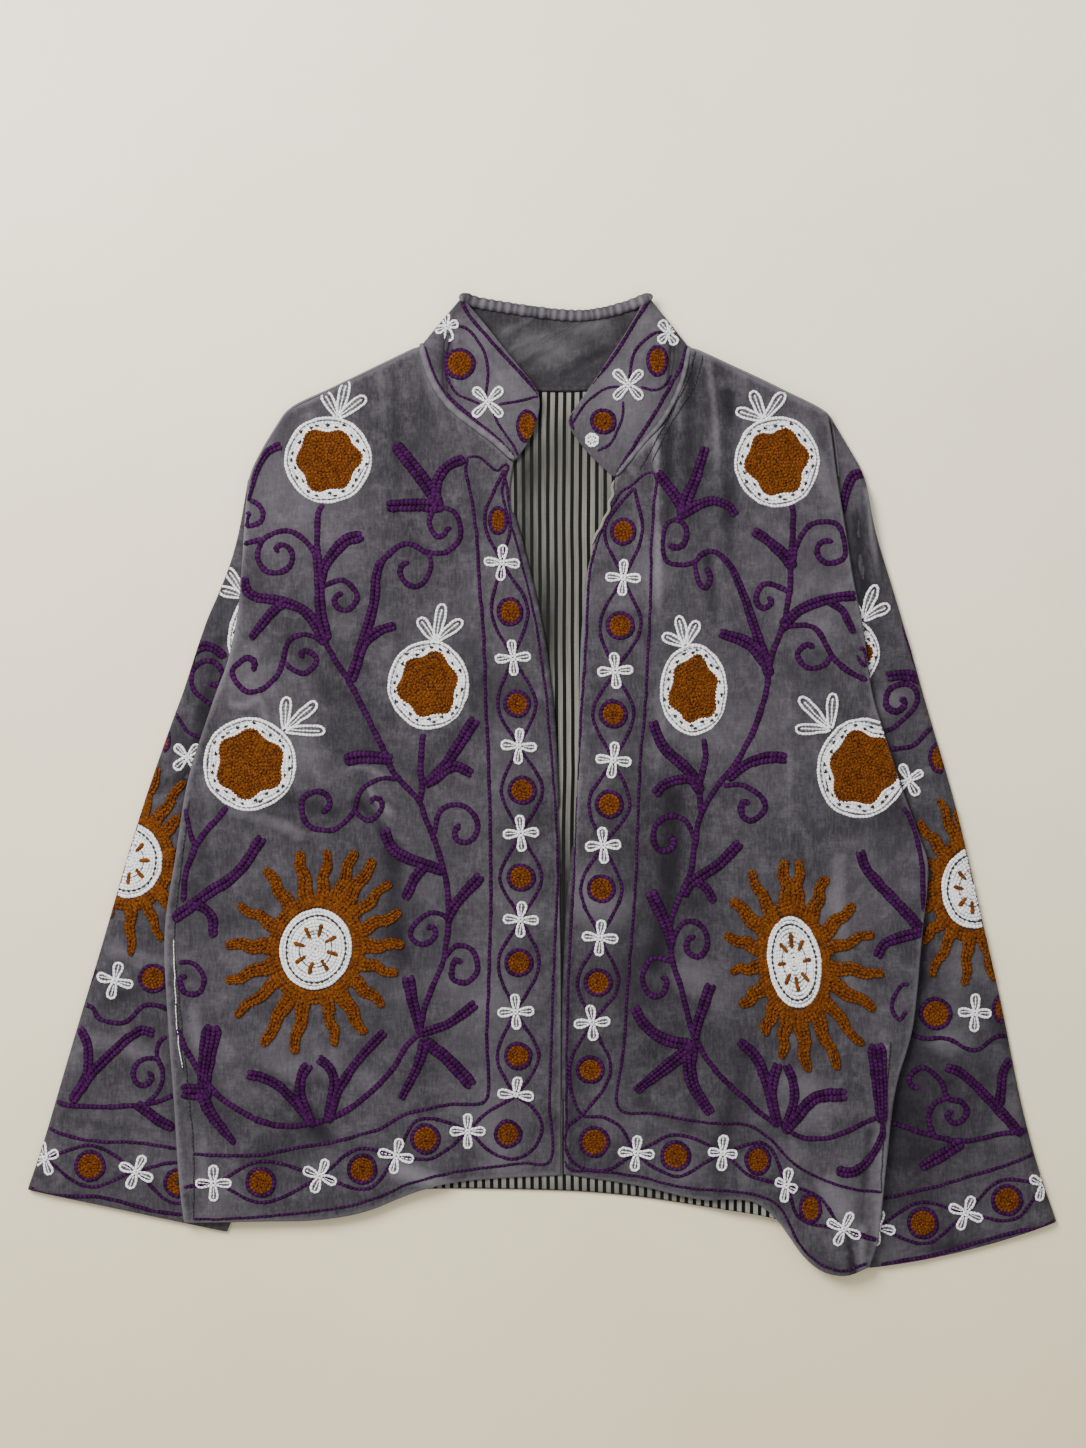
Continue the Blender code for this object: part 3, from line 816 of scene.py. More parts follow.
@dataclass(frozen=True)
class StripedCotton:
    """Plain-woven lining with narrow dark stripes along the jacket; sizes in metres."""

    name: str = "lining_cotton"
    pitch: float = 6.33 * MM
    dark_share: float = 0.44
    start: float = 0.463
    weft: Colour = (0.214, 0.213, 0.186, 1.0)
    warp: Colour = (0.322, 0.318, 0.285, 1.0)
    grime: Colour = (0.10, 0.095, 0.09, 1.0)
    stripe: Colour = (0.003, 0.003, 0.003, 1.0)
    shadow: Colour = (0.012, 0.012, 0.012, 1.0)

    def make(self) -> Material:
        """Makes the material."""
        shader = Shader(self.name)
        wander = shader.ranged(shader.speckle(7.0, 2.0), 0.3, 0.7, -0.8 * MM, 0.8 * MM)
        across = shader.maths("DIVIDE", shader.maths("ADD", shader.part("X"), wander), self.pitch)
        turns = shader.maths("FRACT", shader.maths("ADD", across, self.start), 0.0)
        frayed = shader.ranged(shader.speckle(1300.0, 2.0), 0.3, 0.7, -0.012, 0.012)
        dark = shader.maths("LESS_THAN", shader.maths("ADD", turns, frayed), self.dark_share)
        ribs = shader.speckle(900.0, 3.0, 0.6, (1.0, 0.03, 1.0))
        colour = shader.coat(self.weft, self.warp, ribs, 0.35, 0.65)
        colour = shader.coat(colour, self.grime, shader.speckle(30.0, 4.0), 0.35, 0.7, 0.25)
        colour = shader.blend(dark, colour, self.stripe)
        colour = shader.coat(colour, self.shadow, shader.noted("shade"), 0.0, -1.0, 0.95)
        weave = shader.bump(shader.speckle(1800.0, 1.0), 0.2 * MM, 0.4)
        return shader.finish(colour, weave, roughness=0.9, specular_ior_level=0.04)


@dataclass(frozen=True)
class Plaster:
    """The pale surface that the jacket lies on, with painted light: darker and warmer towards the bottom."""

    near: Colour = (0.74, 0.65, 0.435, 1.0)
    far: Colour = (0.94, 0.865, 0.705, 1.0)
    clouds: Colour = (0.94, 0.935, 0.92, 1.0)

    def make(self) -> Material:
        """Makes the material."""
        shader = Shader("plaster")
        # Painted fall-off of light: near is the bottom of the frame, far the top.
        colour = shader.coat(self.near, self.far, shader.part("Y"), -0.5, 0.5)
        cloudy = shader.ranged(shader.speckle(2.6, 5.0, 0.6), 0.35, 0.68)
        colour = shader.blend(cloudy, colour, self.clouds, "MULTIPLY")
        grain = shader.bump(shader.speckle(60.0, 5.0, 0.65), 0.6 * MM, 0.25)
        return shader.finish(colour, grain, roughness=0.8, specular_ior_level=0.25)


class Thread(Enum):
    """The threads, each with its colour."""

    PURPLE = (0.024, 0.0014, 0.030, 1.0)
    RUST = (0.078, 0.0205, 0.0024, 1.0)
    WHITE = (0.66, 0.655, 0.68, 1.0)
    GREY = (0.075, 0.07, 0.08, 1.0)
    FRAYED = (0.72, 0.70, 0.62, 1.0)
    # Near black, for painted shadow in openwork holes, seam grooves and the pocket slit.
    HOLE = (0.022, 0.02, 0.024, 1.0)

    def make(self) -> Material:
        """Makes the thread's material: painted shade between and beside stitches, uneven from one to the
        next.
        """
        shader = Shader(f"thread_{self.name.lower()}")
        red, green, blue, _ = self.value
        dim = {Thread.WHITE: 0.22, Thread.FRAYED: 0.25, Thread.RUST: 0.28}.get(self, 0.1)
        dark = (red * dim, green * dim, blue * dim, 1.0)
        pale = (min(red * 2.4, 0.9), min(green * 2.65 + 0.002, 0.9), min(blue * 2.4, 0.9), 1.0)
        colour = shader.coat(self.value, pale, shader.noted("tone"), 0.1, 1.0, 0.85)
        colour = shader.coat(colour, self.value, shader.speckle(900.0, 2.0, 0.7), 0.38, 0.62, 0.3)
        # Painted shade: the crest value darkens the grooves between stitches and the sides of each row.
        depth = shader.ranged(shader.noted("crest"), 0.28, 0.72, 1.0, 0.0)
        colour = shader.blend(depth, colour, dark)
        strands = shader.bump(shader.speckle(1400.0, 2.0, 0.7), 0.3 * MM, 0.45)
        return shader.finish(colour, strands, roughness=0.75, sheen_weight=0.02, sheen_roughness=0.4,
                             specular_ior_level=0.07)


@dataclass(frozen=True)
class Stitch:
    """How the stitches of a row look.

    Attributes:
        pitch: The length of a stitch, in millimetres.
        height: How high it stands, in millimetres.
        slant: How far its middle runs ahead of its sides, as a share of its length.
        pinch: How much narrower the row is between two stitches, as a share.
        groove: How much lower it is there, as a share, which also sets the painted shade there.
    """

    pitch: float
    height: float
    slant: float
    pinch: float
    groove: float


SATIN = Stitch(2.4, 1.2, 0.3, 0.04, 0.3)
PLAIT = Stitch(3.3, 1.45, 0.6, 0.1, 0.46)
CHAIN = Stitch(3.5, 1.2, 0.5, 0.14, 0.46)
LINE = Stitch(3.4, 0.9, 0.35, 0.18, 0.5)
CORD = Stitch(2.8, 1.0, 0.4, 0.08, 0.36)
WRAP = Stitch(2.6, 1.1, 0.3, 0.06, 0.34)
EYELET = Stitch(4.2, 0.5, 0.0, 0.97, 0.5)
PIERCE = Stitch(2.4, 0.5, 0.0, 0.55, 0.5)
TUFT = Stitch(3.0, 1.25, 0.7, 0.12, 0.48)
FLECK = Stitch(2.8, 0.9, 0.0, 0.2, 0.3)


class Row(NamedTuple):
    """A sewn row's points from above, their height over the cloth, their tone and painted shade, and its
    faces.
    """

    plan: Points
    rise: np.ndarray
    tone: np.ndarray
    crest: np.ndarray
    faces: np.ndarray


def in_pairs(draw: Callable[[int], np.ndarray], count: int) -> np.ndarray:
    """Draws a value for each stitch of a row, which has two rings, and gives it to both."""
    return draw((count + 1) // 2).repeat(2)[:count]


class Needle:
    """Sews rows of stitches on the cloth and gathers them into one piece for each panel and thread.

    It sews on the panel that it is told last, which is the CAD node of the cloth.
    """

    across = np.array([-1.0, -0.62, 0.0, 0.62, 1.0])
    arch = np.array([0.0, 0.8, 1.0, 0.8, 0.0])
    # Painted light across a row: shaded at its sides, brightest on top.
    painted_light_across = np.array([0.15, 0.85, 1.0, 0.85, 0.15])
    skirt = 0.35 * MM
    fullness = 1.12
    sway = 0.55
    unevenness = 0.06

    def __init__(self, panels: Sequence[Object]) -> None:
        """Gets ready to sew on these panels."""
        self.panel = ""
        self.names = [panel.name for panel in panels]
        self.rows: dict[tuple[str, Thread], list[Row]] = {}
        self.chance = np.random.default_rng(11)
        self.cloth, self.ends = tree_of(panels)

    def sew(self, thread: Thread, stitch: Stitch, way: Way, wide: float, end_wide: float | None = None,
            lift: float = 0.0, closed: bool = False) -> None:
        """Sews a row.

        Args:
            thread: The thread.
            stitch: The kind of stitch.
            way: The places that the row passes, in the photograph.
            wide: The row's width at its start, in pixels.
            end_wide: Its width at its end, where that differs.
            lift: How far the row lies above the cloth, in millimetres.
            closed: Whether it runs back to its start.
        """
        given, step = places(way), stitch.pitch * MM / 2
        path = smooth_path(given, step, closed)
        if closed and len(path) % 2:
            path = smooth_path(given, step * len(path) / (len(path) + 1.0), closed)
        if len(path) > 2:
            self.lay(thread, stitch, path, wide, wide if end_wide is None else end_wide, lift, closed)

    def plait(self, thread: Thread, way: Way, wide: float, end_wide: float, row: float) -> Way:
        """Sews a broad stem as several rows side by side, which close up at its ends.

        Args:
            thread: The thread.
            way: The places that the stem passes, in the photograph.
            wide: Its width at its start, in pixels.
            end_wide: Its width at its end.
            row: About how wide each row is.

        Returns:
            The outline of the whole, in pixels.
        """
        given = np.asarray(way, dtype=float)
        first, last = given[0] - given[1], given[-1] - given[-2]
        start = given[0] + first / np.linalg.norm(first) * wide * 0.3
        end = given[-1] + last / np.linalg.norm(last) * end_wide * 0.3
        path = smooth_path(np.vstack([start, given, end]), 2.0)
        width = np.linspace(wide, end_wide, len(path))
        closing = rounded(2 * (from_ends(len(path)) * 2.0 + 0.5) / width)
        flank = course(path)[1] * (width * closing)[:, None]
        rows = max(2, round(max(wide, end_wide) / row))
        wide, end_wide = (size / rows * self.fullness for size in (wide, end_wide))
        for offset in np.linspace(-0.5, 0.5, 2 * rows + 1)[1::2]:
            lift = 0.1 + 0.8 * (0.25 - offset**2)
            self.sew(thread, PLAIT, path + flank * offset, wide, end_wide, lift)
        return [*(path + flank * 0.42), *(path - flank * 0.42)[::-1]]

    def strew(self, thread: Thread, border: Way, gap: float, lift: float) -> None:
        """Strews short stitches, each in its own direction, over a shape that is filled already.

        Args:
            thread: The thread.
            border: The shape's outline, in the photograph.
            gap: About how far apart they lie, in pixels.
            lift: How far they lie above the cloth, in millimetres.
        """
        outline = np.array(border)
        low, high = outline.min(axis=0), outline.max(axis=0)
        spots = self.chance.uniform(low, high, (round(np.prod((high - low) / gap)), 2))
        wide = gap * 0.62
        for spot in spots[inside(spots, outline)]:
            angle = math.tau * self.chance.random()
            half = np.array([math.cos(angle), math.sin(angle)]) * gap * 0.55
            fleck = places([spot - half, spot, spot + half])
            self.lay(thread, FLECK, fleck, wide, wide, lift)

    def lay(self, thread: Thread, stitch: Stitch, path: Points, wide: float, end_wide: float, lift: float,
            closed: bool = False) -> None:
        """Lays a row's rings along a path of evenly spaced points, in metres; the rest is as for `sew`."""
        count, columns = len(path), len(self.across)
        run, side = course(path, closed)
        wander = np.convolve(self.chance.standard_normal(count + 4), np.ones(5) / 5, "valid")
        path = path + side * (wander * self.sway * PIXEL)[:, None]
        half = np.linspace(wide, end_wide, count) * PIXEL / 2 * self.fullness
        ridge = (np.arange(count) % 2).astype(float)
        cap = np.ones(count)
        if not closed:
            cap = rounded((from_ends(count) * stitch.pitch * MM / 2 + 0.12 * half) / half)
            ridge[0], ridge[-1] = 0.5, 0.5
        uneven = 1.0 + self.unevenness * in_pairs(self.chance.standard_normal, count)
        width = half * cap * (1.0 - stitch.pinch * (1.0 - ridge)) * uneven
        height = stitch.height * MM * np.sqrt(cap) * (1.0 - stitch.groove * (1.0 - ridge)) * uneven
        ahead = stitch.slant * stitch.pitch * MM * (1.0 - self.across**2)
        plan = path[:, None, :] + side[:, None, :] * (self.across * width[:, None])[:, :, None]
        plan = plan + run[:, None, :] * (ahead[None, :] * cap[:, None])[:, :, None]
        rise = height[:, None] * self.arch - self.skirt * (self.arch == 0) + lift * MM * (self.arch > 0)
        # Painted shade between stitches: the deeper the groove, the darker it is painted.
        floor = max(0.1, 1.0 - 1.35 * stitch.groove)
        crest = (floor + (1.0 - floor) * ridge)[:, None] * self.painted_light_across
        tone = in_pairs(self.chance.random, count).repeat(columns)
        row = Row(plan.reshape(-1, 2), rise.ravel(), tone, crest.ravel(), ring_faces(count, columns, closed))
        self.rows.setdefault((self.panel, thread), []).append(row)

    def finish(self) -> None:
        """Makes a piece of each panel's rows in each thread."""
        threads = {thread: thread.make() for thread in Thread}
        for (panel, thread), rows in self.rows.items():
            self.gather(panel, rows, f"{panel}_{thread.name.lower()}_thread", threads[thread])

    def gather(self, panel: str, rows: Sequence[Row], name: str, material: Material) -> None:
        """Joins rows to a piece, leaving out what other cloth would hide.

        Args:
            panel: The CAD node whose cloth carries the rows.
            rows: The rows.
            name: What the piece is called.
            material: The thread's finish.
        """
        plan, rise, tone, crest = (np.concatenate(parts) for parts in list(zip(*rows))[:4])
        starts = np.cumsum([0] + [len(row.plan) for row in rows[:-1]])
        faces = np.vstack([row.faces + start for row, start in zip(rows, starts)])
        heights, hit = drop(self.cloth, plan)
        owner = self.names.index(f"{panel}_cloth")
        own = (hit >= [0, *self.ends][owner]) & (hit < self.ends[owner])
        used, faces = np.unique(faces[own[faces].all(axis=1)], return_inverse=True)
        mesh = bpy.data.meshes.new(name)
        points = np.column_stack([plan, heights + rise])[used]
        mesh.from_pydata(points.tolist(), [], faces.reshape(-1, 4).tolist())
        store(mesh, "tone", tone[used])
        store(mesh, "crest", crest[used])
        dress(new_object(name, mesh, material))


@dataclass(frozen=True)
class Roll:
    """A narrow roll of cloth that lies along a seam or an edge.

    Attributes:
        name: What the piece is called.
        way: The places that it passes, in the photograph.
        wide: How wide it is, in millimetres.
        high: How high it stands, in millimetres.
        gather: How deep its gathers are, as a share of its size.
        every: How far apart they lie, in millimetres.
        slot: Its material slot, or nothing where it is of threads.
        foot: How low it reaches, in millimetres above the surface, where it closes an edge.
        level: The height of what it lies on, in millimetres, where other cloth hides that.
        paleness: How pale it is painted: higher is a brighter painted highlight, below nought painted shade.
        sides: How many faces run round it.
        step: How far apart its rings lie.
        point: How long its narrowing ends are.
    """

    name: str
    way: Way
    wide: float
    high: float
    gather: float = 0.0
    every: float = 8.0
    slot: Slot | None = Slot.VELVET
    foot: float | None = None
    level: float | None = None
    paleness: float = 0.5
    sides: int = 10
    step: float = 1.2 * MM
    point: float = 9 * MM

    def bed(self, needle: Needle, path: Points, side: Points) -> np.ndarray:
        """How high the cloth under each point of the roll lies, smoothed along it."""
        if self.level is not None:
            return np.full(len(path), self.level * MM)
        tops = [drop(needle.cloth, path + side * off * self.wide * MM)[0] for off in (-0.4, 0.0, 0.4)]
        return np.convolve(np.pad(np.max(tops, axis=0), 4, "edge"), np.ones(9) / 9, "valid")

    def swell(self, count: int, length: np.ndarray) -> np.ndarray:
        """How full the roll is at each point, less where it is gathered."""
        chance = np.random.default_rng(count)
        folds = np.cumsum(self.every * MM * (0.6 + 0.8 * chance.random(count)))
        away = np.min(np.abs(length[:, None] - folds[None, :]), axis=1) / (self.every * MM * 0.5)
        return 1.0 - self.gather * np.clip(1.0 - away, 0.0, 1.0) ** 0.7

    def build(self, needle: Needle, material: Material) -> Object:
        """Builds the roll on what lies under it.

        Args:
            needle: The needle that knows the cloth's heights.
            material: The roll's finish.

        Returns:
            The finished piece.
        """
        path = smooth_path(places(self.way), self.step)
        count = len(path)
        _, side = course(path)
        bed = self.bed(needle, path, side)
        length = np.arange(count) * self.step
        swell = self.swell(count, length)
        cap = rounded((from_ends(count) * self.step + 0.4 * MM) / self.point)
        angle = math.tau * np.arange(self.sides) / self.sides
        half, middle = self.high * MM / 2, bed + 0.22 * self.high * MM
        if self.foot is not None:
            half, middle = (bed - self.foot * MM) / 2 + 0.5 * MM, (bed + self.foot * MM) / 2
        across = np.cos(angle) * (self.wide * MM / 2 * (0.5 + 0.5 * swell) * cap)[:, None]
        above = np.sin(angle) * (half * swell * cap)[:, None]
        plan = path[:, None, :] + side[:, None, :] * across[:, :, None]
        points = np.dstack([plan, middle[:, None] + above]).reshape(-1, 3)
        faces = [tuple(face) for face in ring_faces(count, self.sides, tube=True).tolist()]
        faces.append(tuple(range(self.sides)))
        faces.append(tuple(reversed(range((count - 1) * self.sides, count * self.sides))))
        mesh = bpy.data.meshes.new(self.name)
        mesh.from_pydata(points.tolist(), [], faces)
        # Painted light and shade: the roll's top is painted pale, its gathers dark, and its own offset shifts
        # it all.
        store(mesh, "proud", ((swell - 1.0)[:, None] * 5.0 + self.paleness + 1.4 * np.sin(angle)).ravel())
        return dress(new_object(self.name, mesh, material))


@dataclass(frozen=True)
class Stem:
    """A stem, leaf or curl in purple: its width in pixels, its way, and its width at the end."""

    wide: float
    way: Way
    end_wide: float | None = None
    fullness: float = 1.1
    broad: float = 8.0
    row: float = 5.6

    def sew(self, needle: Needle) -> None:
        """Sews the stem."""
        first = self.wide * self.fullness
        last = first if self.end_wide is None else self.end_wide * self.fullness
        if max(first, last) < self.broad:
            needle.sew(Thread.PURPLE, CHAIN, self.way, first, last)
        else:
            needle.plait(Thread.PURPLE, self.way, first, last, self.row)


@dataclass(frozen=True)
class Outline:
    """A thin line of stitches along a border or a seam."""

    way: Way
    wide: float = 3.9
    thread: Thread = Thread.PURPLE
    stitch: Stitch = LINE

    def sew(self, needle: Needle) -> None:
        """Sews the line."""
        needle.sew(self.thread, self.stitch, self.way, self.wide)


def oval(x: float, y: float, across: float, along: float, turn: float = 0.0, lobes: int = 0,
         depth: float = 0.0, start: float = 0.0) -> list[Place]:
    """A closed oval in the photograph, wavy where it has lobes.

    Args:
        x: The middle, from the left.
        y: The middle, from the top.
        across: The half width.
        along: The half height.
        turn: How far it is turned, in degrees.
        lobes: How many waves run round it.
        depth: How deep they are, as a share.
        start: Where the first one lies, in degrees.

    Returns:
        Its places, in pixels.
    """
    count = max(10, 6 * lobes, round((across + along) * 1.4))
    cos, sin = math.cos(math.radians(turn)), math.sin(math.radians(turn))
    phase = math.radians(start)
    points = []
    for k in range(count):
        angle = 2 * math.pi * k / count
        swell = 1.0 + depth * (math.cos(lobes * angle + phase) + 0.55 * math.cos(3 * angle + 2.3 * phase))
        u, v = across * swell * math.cos(angle), along * swell * math.sin(angle)
        points.append((x + u * cos - v * sin, y + u * sin + v * cos))
    return points


@dataclass(frozen=True)
class Loop:
    """A narrow white loop with openwork inside it, in pixels."""

    base: Place
    tip: Place
    half: float
    shape = ((0.0, 0.35), (0.45, 0.85), (0.82, 0.95), (0.97, 0.55), (1.0, 0.0))

    def rim(self) -> list[Place]:
        """The way from the base out to the tip and back."""
        run = np.subtract(self.tip, self.base)
        side = left_of(run) * self.half
        both = [*self.shape, *((s, -t) for s, t in reversed(self.shape[:-1]))]
        return [tuple(np.array(self.base) + run * s + side * t) for s, t in both]

    def sew(self, needle: Needle) -> None:
        """Sews the loop."""
        run = np.subtract(self.tip, self.base)
        middle = [tuple(np.add(self.base, run * share)) for share in (0.12, 0.5, 0.86)]
        needle.sew(Thread.GREY, CORD, middle, self.half * 1.4, self.half * 1.6, -0.45)
        needle.sew(Thread.WHITE, CORD, middle, self.half * 0.3, self.half * 0.42)
        needle.sew(Thread.WHITE, WRAP, self.rim(), 2.9, lift=0.15)


@dataclass(frozen=True)
class Flower:
    """A white flower of four looped petals; sizes in pixels."""

    x: float
    y: float
    turn: float = 0.0
    narrow: float = 1.0
    reach: float = 17.0
    quarters: Sequence[int] = (0, 1, 2, 3)
    petal = 3.9
    heart = 1.7

    def sew(self, needle: Needle) -> None:
        """Sews the flower."""
        middle = np.array([self.x, self.y])
        for quarter in self.quarters:
            angle = math.radians(self.turn + 90 * quarter)
            step = np.array([self.narrow * math.cos(angle), math.sin(angle)])
            Loop(middle + step * 2, middle + step * self.reach, self.petal).sew(needle)
        heart = oval(self.x, self.y, self.heart, self.heart)
        needle.sew(Thread.WHITE, CORD, heart, 3.6, lift=0.6, closed=True)


@dataclass(frozen=True)
class Dot:
    """A round rust dot in a purple ring; sizes in pixels."""

    x: float
    y: float
    radius: float = 9.5
    narrow: float = 1.0
    row = 3.0
    fleck_gap = 2.5
    ring_gap = 2.8
    ring_wide = 4.6

    def ring(self, radius: float) -> list[Place]:
        """A closed row of this radius round the dot's middle."""
        return oval(self.x, self.y, radius * self.narrow, radius)

    def sew(self, needle: Needle) -> None:
        """Sews the dot."""
        for radius in np.arange(self.radius - 0.3, 0.2, -self.row):
            needle.sew(Thread.RUST, TUFT, self.ring(radius), self.row * OVERLAP, closed=True)
        needle.strew(Thread.RUST, self.ring(self.radius - 0.6), self.fleck_gap, 0.7)
        middle = [(self.x + step, self.y) for step in (-2, 0, 2)]
        needle.sew(Thread.RUST, TUFT, middle, 3.6, lift=0.3)
        around = self.ring(self.radius + self.ring_gap)
        needle.sew(Thread.PURPLE, CHAIN, around, self.ring_wide, lift=0.2, closed=True)


@dataclass(frozen=True)
class CornerDot(Dot):
    """A dot at a band's corner, with the ways of the two lines that swing round it."""

    left: Way = ()
    right: Way = ()


@dataclass(frozen=True)
class Crossing:
    """A place where the two lines of a band cross, without a motif."""

    x: float
    y: float

    def sew(self, needle: Needle) -> None:
        """Sews nothing: the band's lines pass here."""


@dataclass(frozen=True)
class Band:
    """A border of dots and flowers, with two waving lines that cross at the flowers and ring the dots."""

    stops: Sequence[Flower | Dot | Crossing]
    spread: float = 20.5
    wide: float = 3.9

    def sew(self, needle: Needle) -> None:
        """Sews the border."""
        for stop in self.stops:
            stop.sew(needle)
        for hand in (1, -1):
            needle.sew(Thread.PURPLE, LINE, self.line(hand), self.wide)

    def line(self, hand: int) -> list[Place]:
        """The way of the line that starts on the left, where hand is 1, or on the right, where it is -1."""
        middles = np.array([(stop.x, stop.y) for stop in self.stops], dtype=float)
        way = []
        for stop, middle, side in zip(self.stops, middles, course(middles)[1]):
            if isinstance(stop, CornerDot):
                way.extend(stop.left if hand > 0 else stop.right)
            else:
                out = self.spread * hand * stop.narrow if isinstance(stop, Dot) else 0.0
                way.append(tuple(middle + side * out))
            if isinstance(stop, Dot):
                hand = -hand
        return way


@dataclass(frozen=True)
class Pomegranate:
    """A pomegranate: a white openwork rind, a wavy rust heart, and three loops at its crown.

    Its middle, half width and half height are in pixels, its heart a share of them, and the crown's foot and
    tips are places in the photograph. Its rows and holes lie at shares of the rind's depth.
    """

    x: float
    y: float
    across: float
    along: float
    foot: Place
    tips: Sequence[Place]
    start: float = 0.0
    turn: float = 0.0
    heart = 0.72
    row = 3.1
    lobes = 6
    crown = 4.8
    fleck_gap = 3.1
    eyelet_depth = 0.26
    rind_rows = ((0.1, 3.6), (0.36, 4.4), (0.64, 4.6), (0.9, 4.2))
    hole_depths = (0.46, 0.74, 0.6, 0.6, 0.74)
    hole_gaps = (4, 5, 3, 5, 4, 3, 6)
    hole_widths = (4.4, 3.2, 5.0, 3.8)

    def ring(self, share: float, waviness: float) -> list[Place]:
        """A closed row at a share of the pomegranate's size."""
        across, along = self.across * share, self.along * share
        return oval(self.x, self.y, across, along, self.turn, self.lobes, 0.05 * waviness, self.start)

    def rind(self, depth: float) -> list[Place]:
        """A closed row at a share of the rind's depth, wavier the deeper it lies."""
        return self.ring(1.0 - (1.0 - self.heart) * depth, 1.4 * depth)

    def sew(self, needle: Needle) -> None:
        """Sews the pomegranate."""
        for tip in self.tips:
            Loop(self.foot, tip, self.crown).sew(needle)
        for depth, wide in self.rind_rows:
            needle.sew(Thread.WHITE, WRAP, self.rind(depth), wide, closed=True)
        eyelets = self.ring(1.0 - (1.0 - self.heart) * self.eyelet_depth, 0.4)
        needle.sew(Thread.GREY, EYELET, eyelets, 2.0, lift=1.05, closed=True)
        self.pierce(needle)
        row = 2 * self.row / (self.across + self.along)
        for share in np.arange(self.heart - 0.35 * row, 0.3 * row, -row):
            ring = self.ring(share, 1.7 * share / self.heart)
            needle.sew(Thread.RUST, TUFT, ring, self.row * OVERLAP, lift=0.1, closed=True)
        needle.strew(Thread.RUST, self.ring(self.heart - 0.4 * row, 1.7), self.fleck_gap, 0.85)

    def pierce(self, needle: Needle) -> None:
        """Sews short dark dashes round the rind, at uneven places: painted shadow in the openwork's holes."""
        count = len(self.rind(self.hole_depths[0]))
        spot, number = 2, 0
        while spot < count - 1:
            ring = np.array(self.rind(self.hole_depths[number % len(self.hole_depths)]))
            place = spot * len(ring) // count
            along = ring[(place + 1) % len(ring)] - ring[place - 1]
            along *= 2.0 / np.linalg.norm(along)
            hole = (ring[place] - along, ring[place] + along)
            wide = self.hole_widths[number % len(self.hole_widths)]
            needle.sew(Thread.HOLE, PIERCE, hole, wide, lift=1.3)
            spot += self.hole_gaps[number % len(self.hole_gaps)]
            number += 1


@dataclass(frozen=True)
class Sun:
    """A sun: wavy rust rays round a white disc, with an openwork rim and a rosette of rust petals.

    Its middle, half width and half height are in pixels, and the rays' tips are places in the photograph.
    """

    x: float
    y: float
    across: float
    along: float
    tips: Sequence[Place]
    turn: float = 0.0
    ray: float = 15.0
    petals = 8
    petal_ends = (0.30, 0.63)
    bends = (0.0, 0.6, -0.9, 1.0, -0.4)
    sway = 1.5
    fullness = (1.08, 0.9, 1.0)
    rim_rows = (1.08, 1.19, 1.31)
    disc_rows = np.arange(0.96, 0.04, -0.09)

    def ring(self, share: float) -> list[Place]:
        """A closed row at a share of the disc's size."""
        return oval(self.x, self.y, self.across * share, self.along * share, self.turn)

    def sew(self, needle: Needle) -> None:
        """Sews the sun."""
        for number, tip in enumerate(self.tips):
            self.sew_ray(needle, number, tip)
        for share in self.rim_rows:
            needle.sew(Thread.RUST, TUFT, self.ring(share), 4.8, lift=0.25, closed=True)
        self.sew_disc(needle)

    def sew_ray(self, needle: Needle, number: int, tip: Place) -> None:
        """Sews a ray from the disc's edge to its tip, each next one swaying the other way."""
        middle = np.array([self.x, self.y])
        run = np.subtract(tip, middle)
        side = left_of(run) * (self.sway if number % 2 else -self.sway)
        size = math.hypot(run[0] / self.across, run[1] / self.along)
        shares = np.linspace(1.16 / size, 0.95, len(self.bends))
        way = [middle + run * share + side * bend for share, bend in zip(shares, self.bends)]
        ray = self.ray * self.fullness[number % len(self.fullness)]
        outline = needle.plait(Thread.RUST, way, ray * 1.12, ray * 0.56, 4.6)
        needle.strew(Thread.RUST, outline, 3.4, 0.9)

    def sew_disc(self, needle: Needle) -> None:
        """Sews the white disc with its rosette."""
        for share in self.disc_rows:
            needle.sew(Thread.WHITE, CORD, self.ring(share), 4.2, lift=1.0, closed=True)
        # Near black dashes: painted shadow in the holes of the openwork rim.
        needle.sew(Thread.HOLE, EYELET, self.ring(0.83), 3.8, lift=1.9, closed=True)
        needle.sew(Thread.GREY, EYELET, self.ring(0.45), 2.2, lift=1.85, closed=True)
        inner, outer = (np.array(self.ring(share)) for share in self.petal_ends)
        for petal in range(self.petals):
            base = inner[round(petal * len(inner) / self.petals) % len(inner)]
            tip = outer[round(petal * len(outer) / self.petals) % len(outer)]
            needle.sew(Thread.RUST, SATIN, (base, (base + tip) / 2, tip), 4.2, 6.0, 1.6)


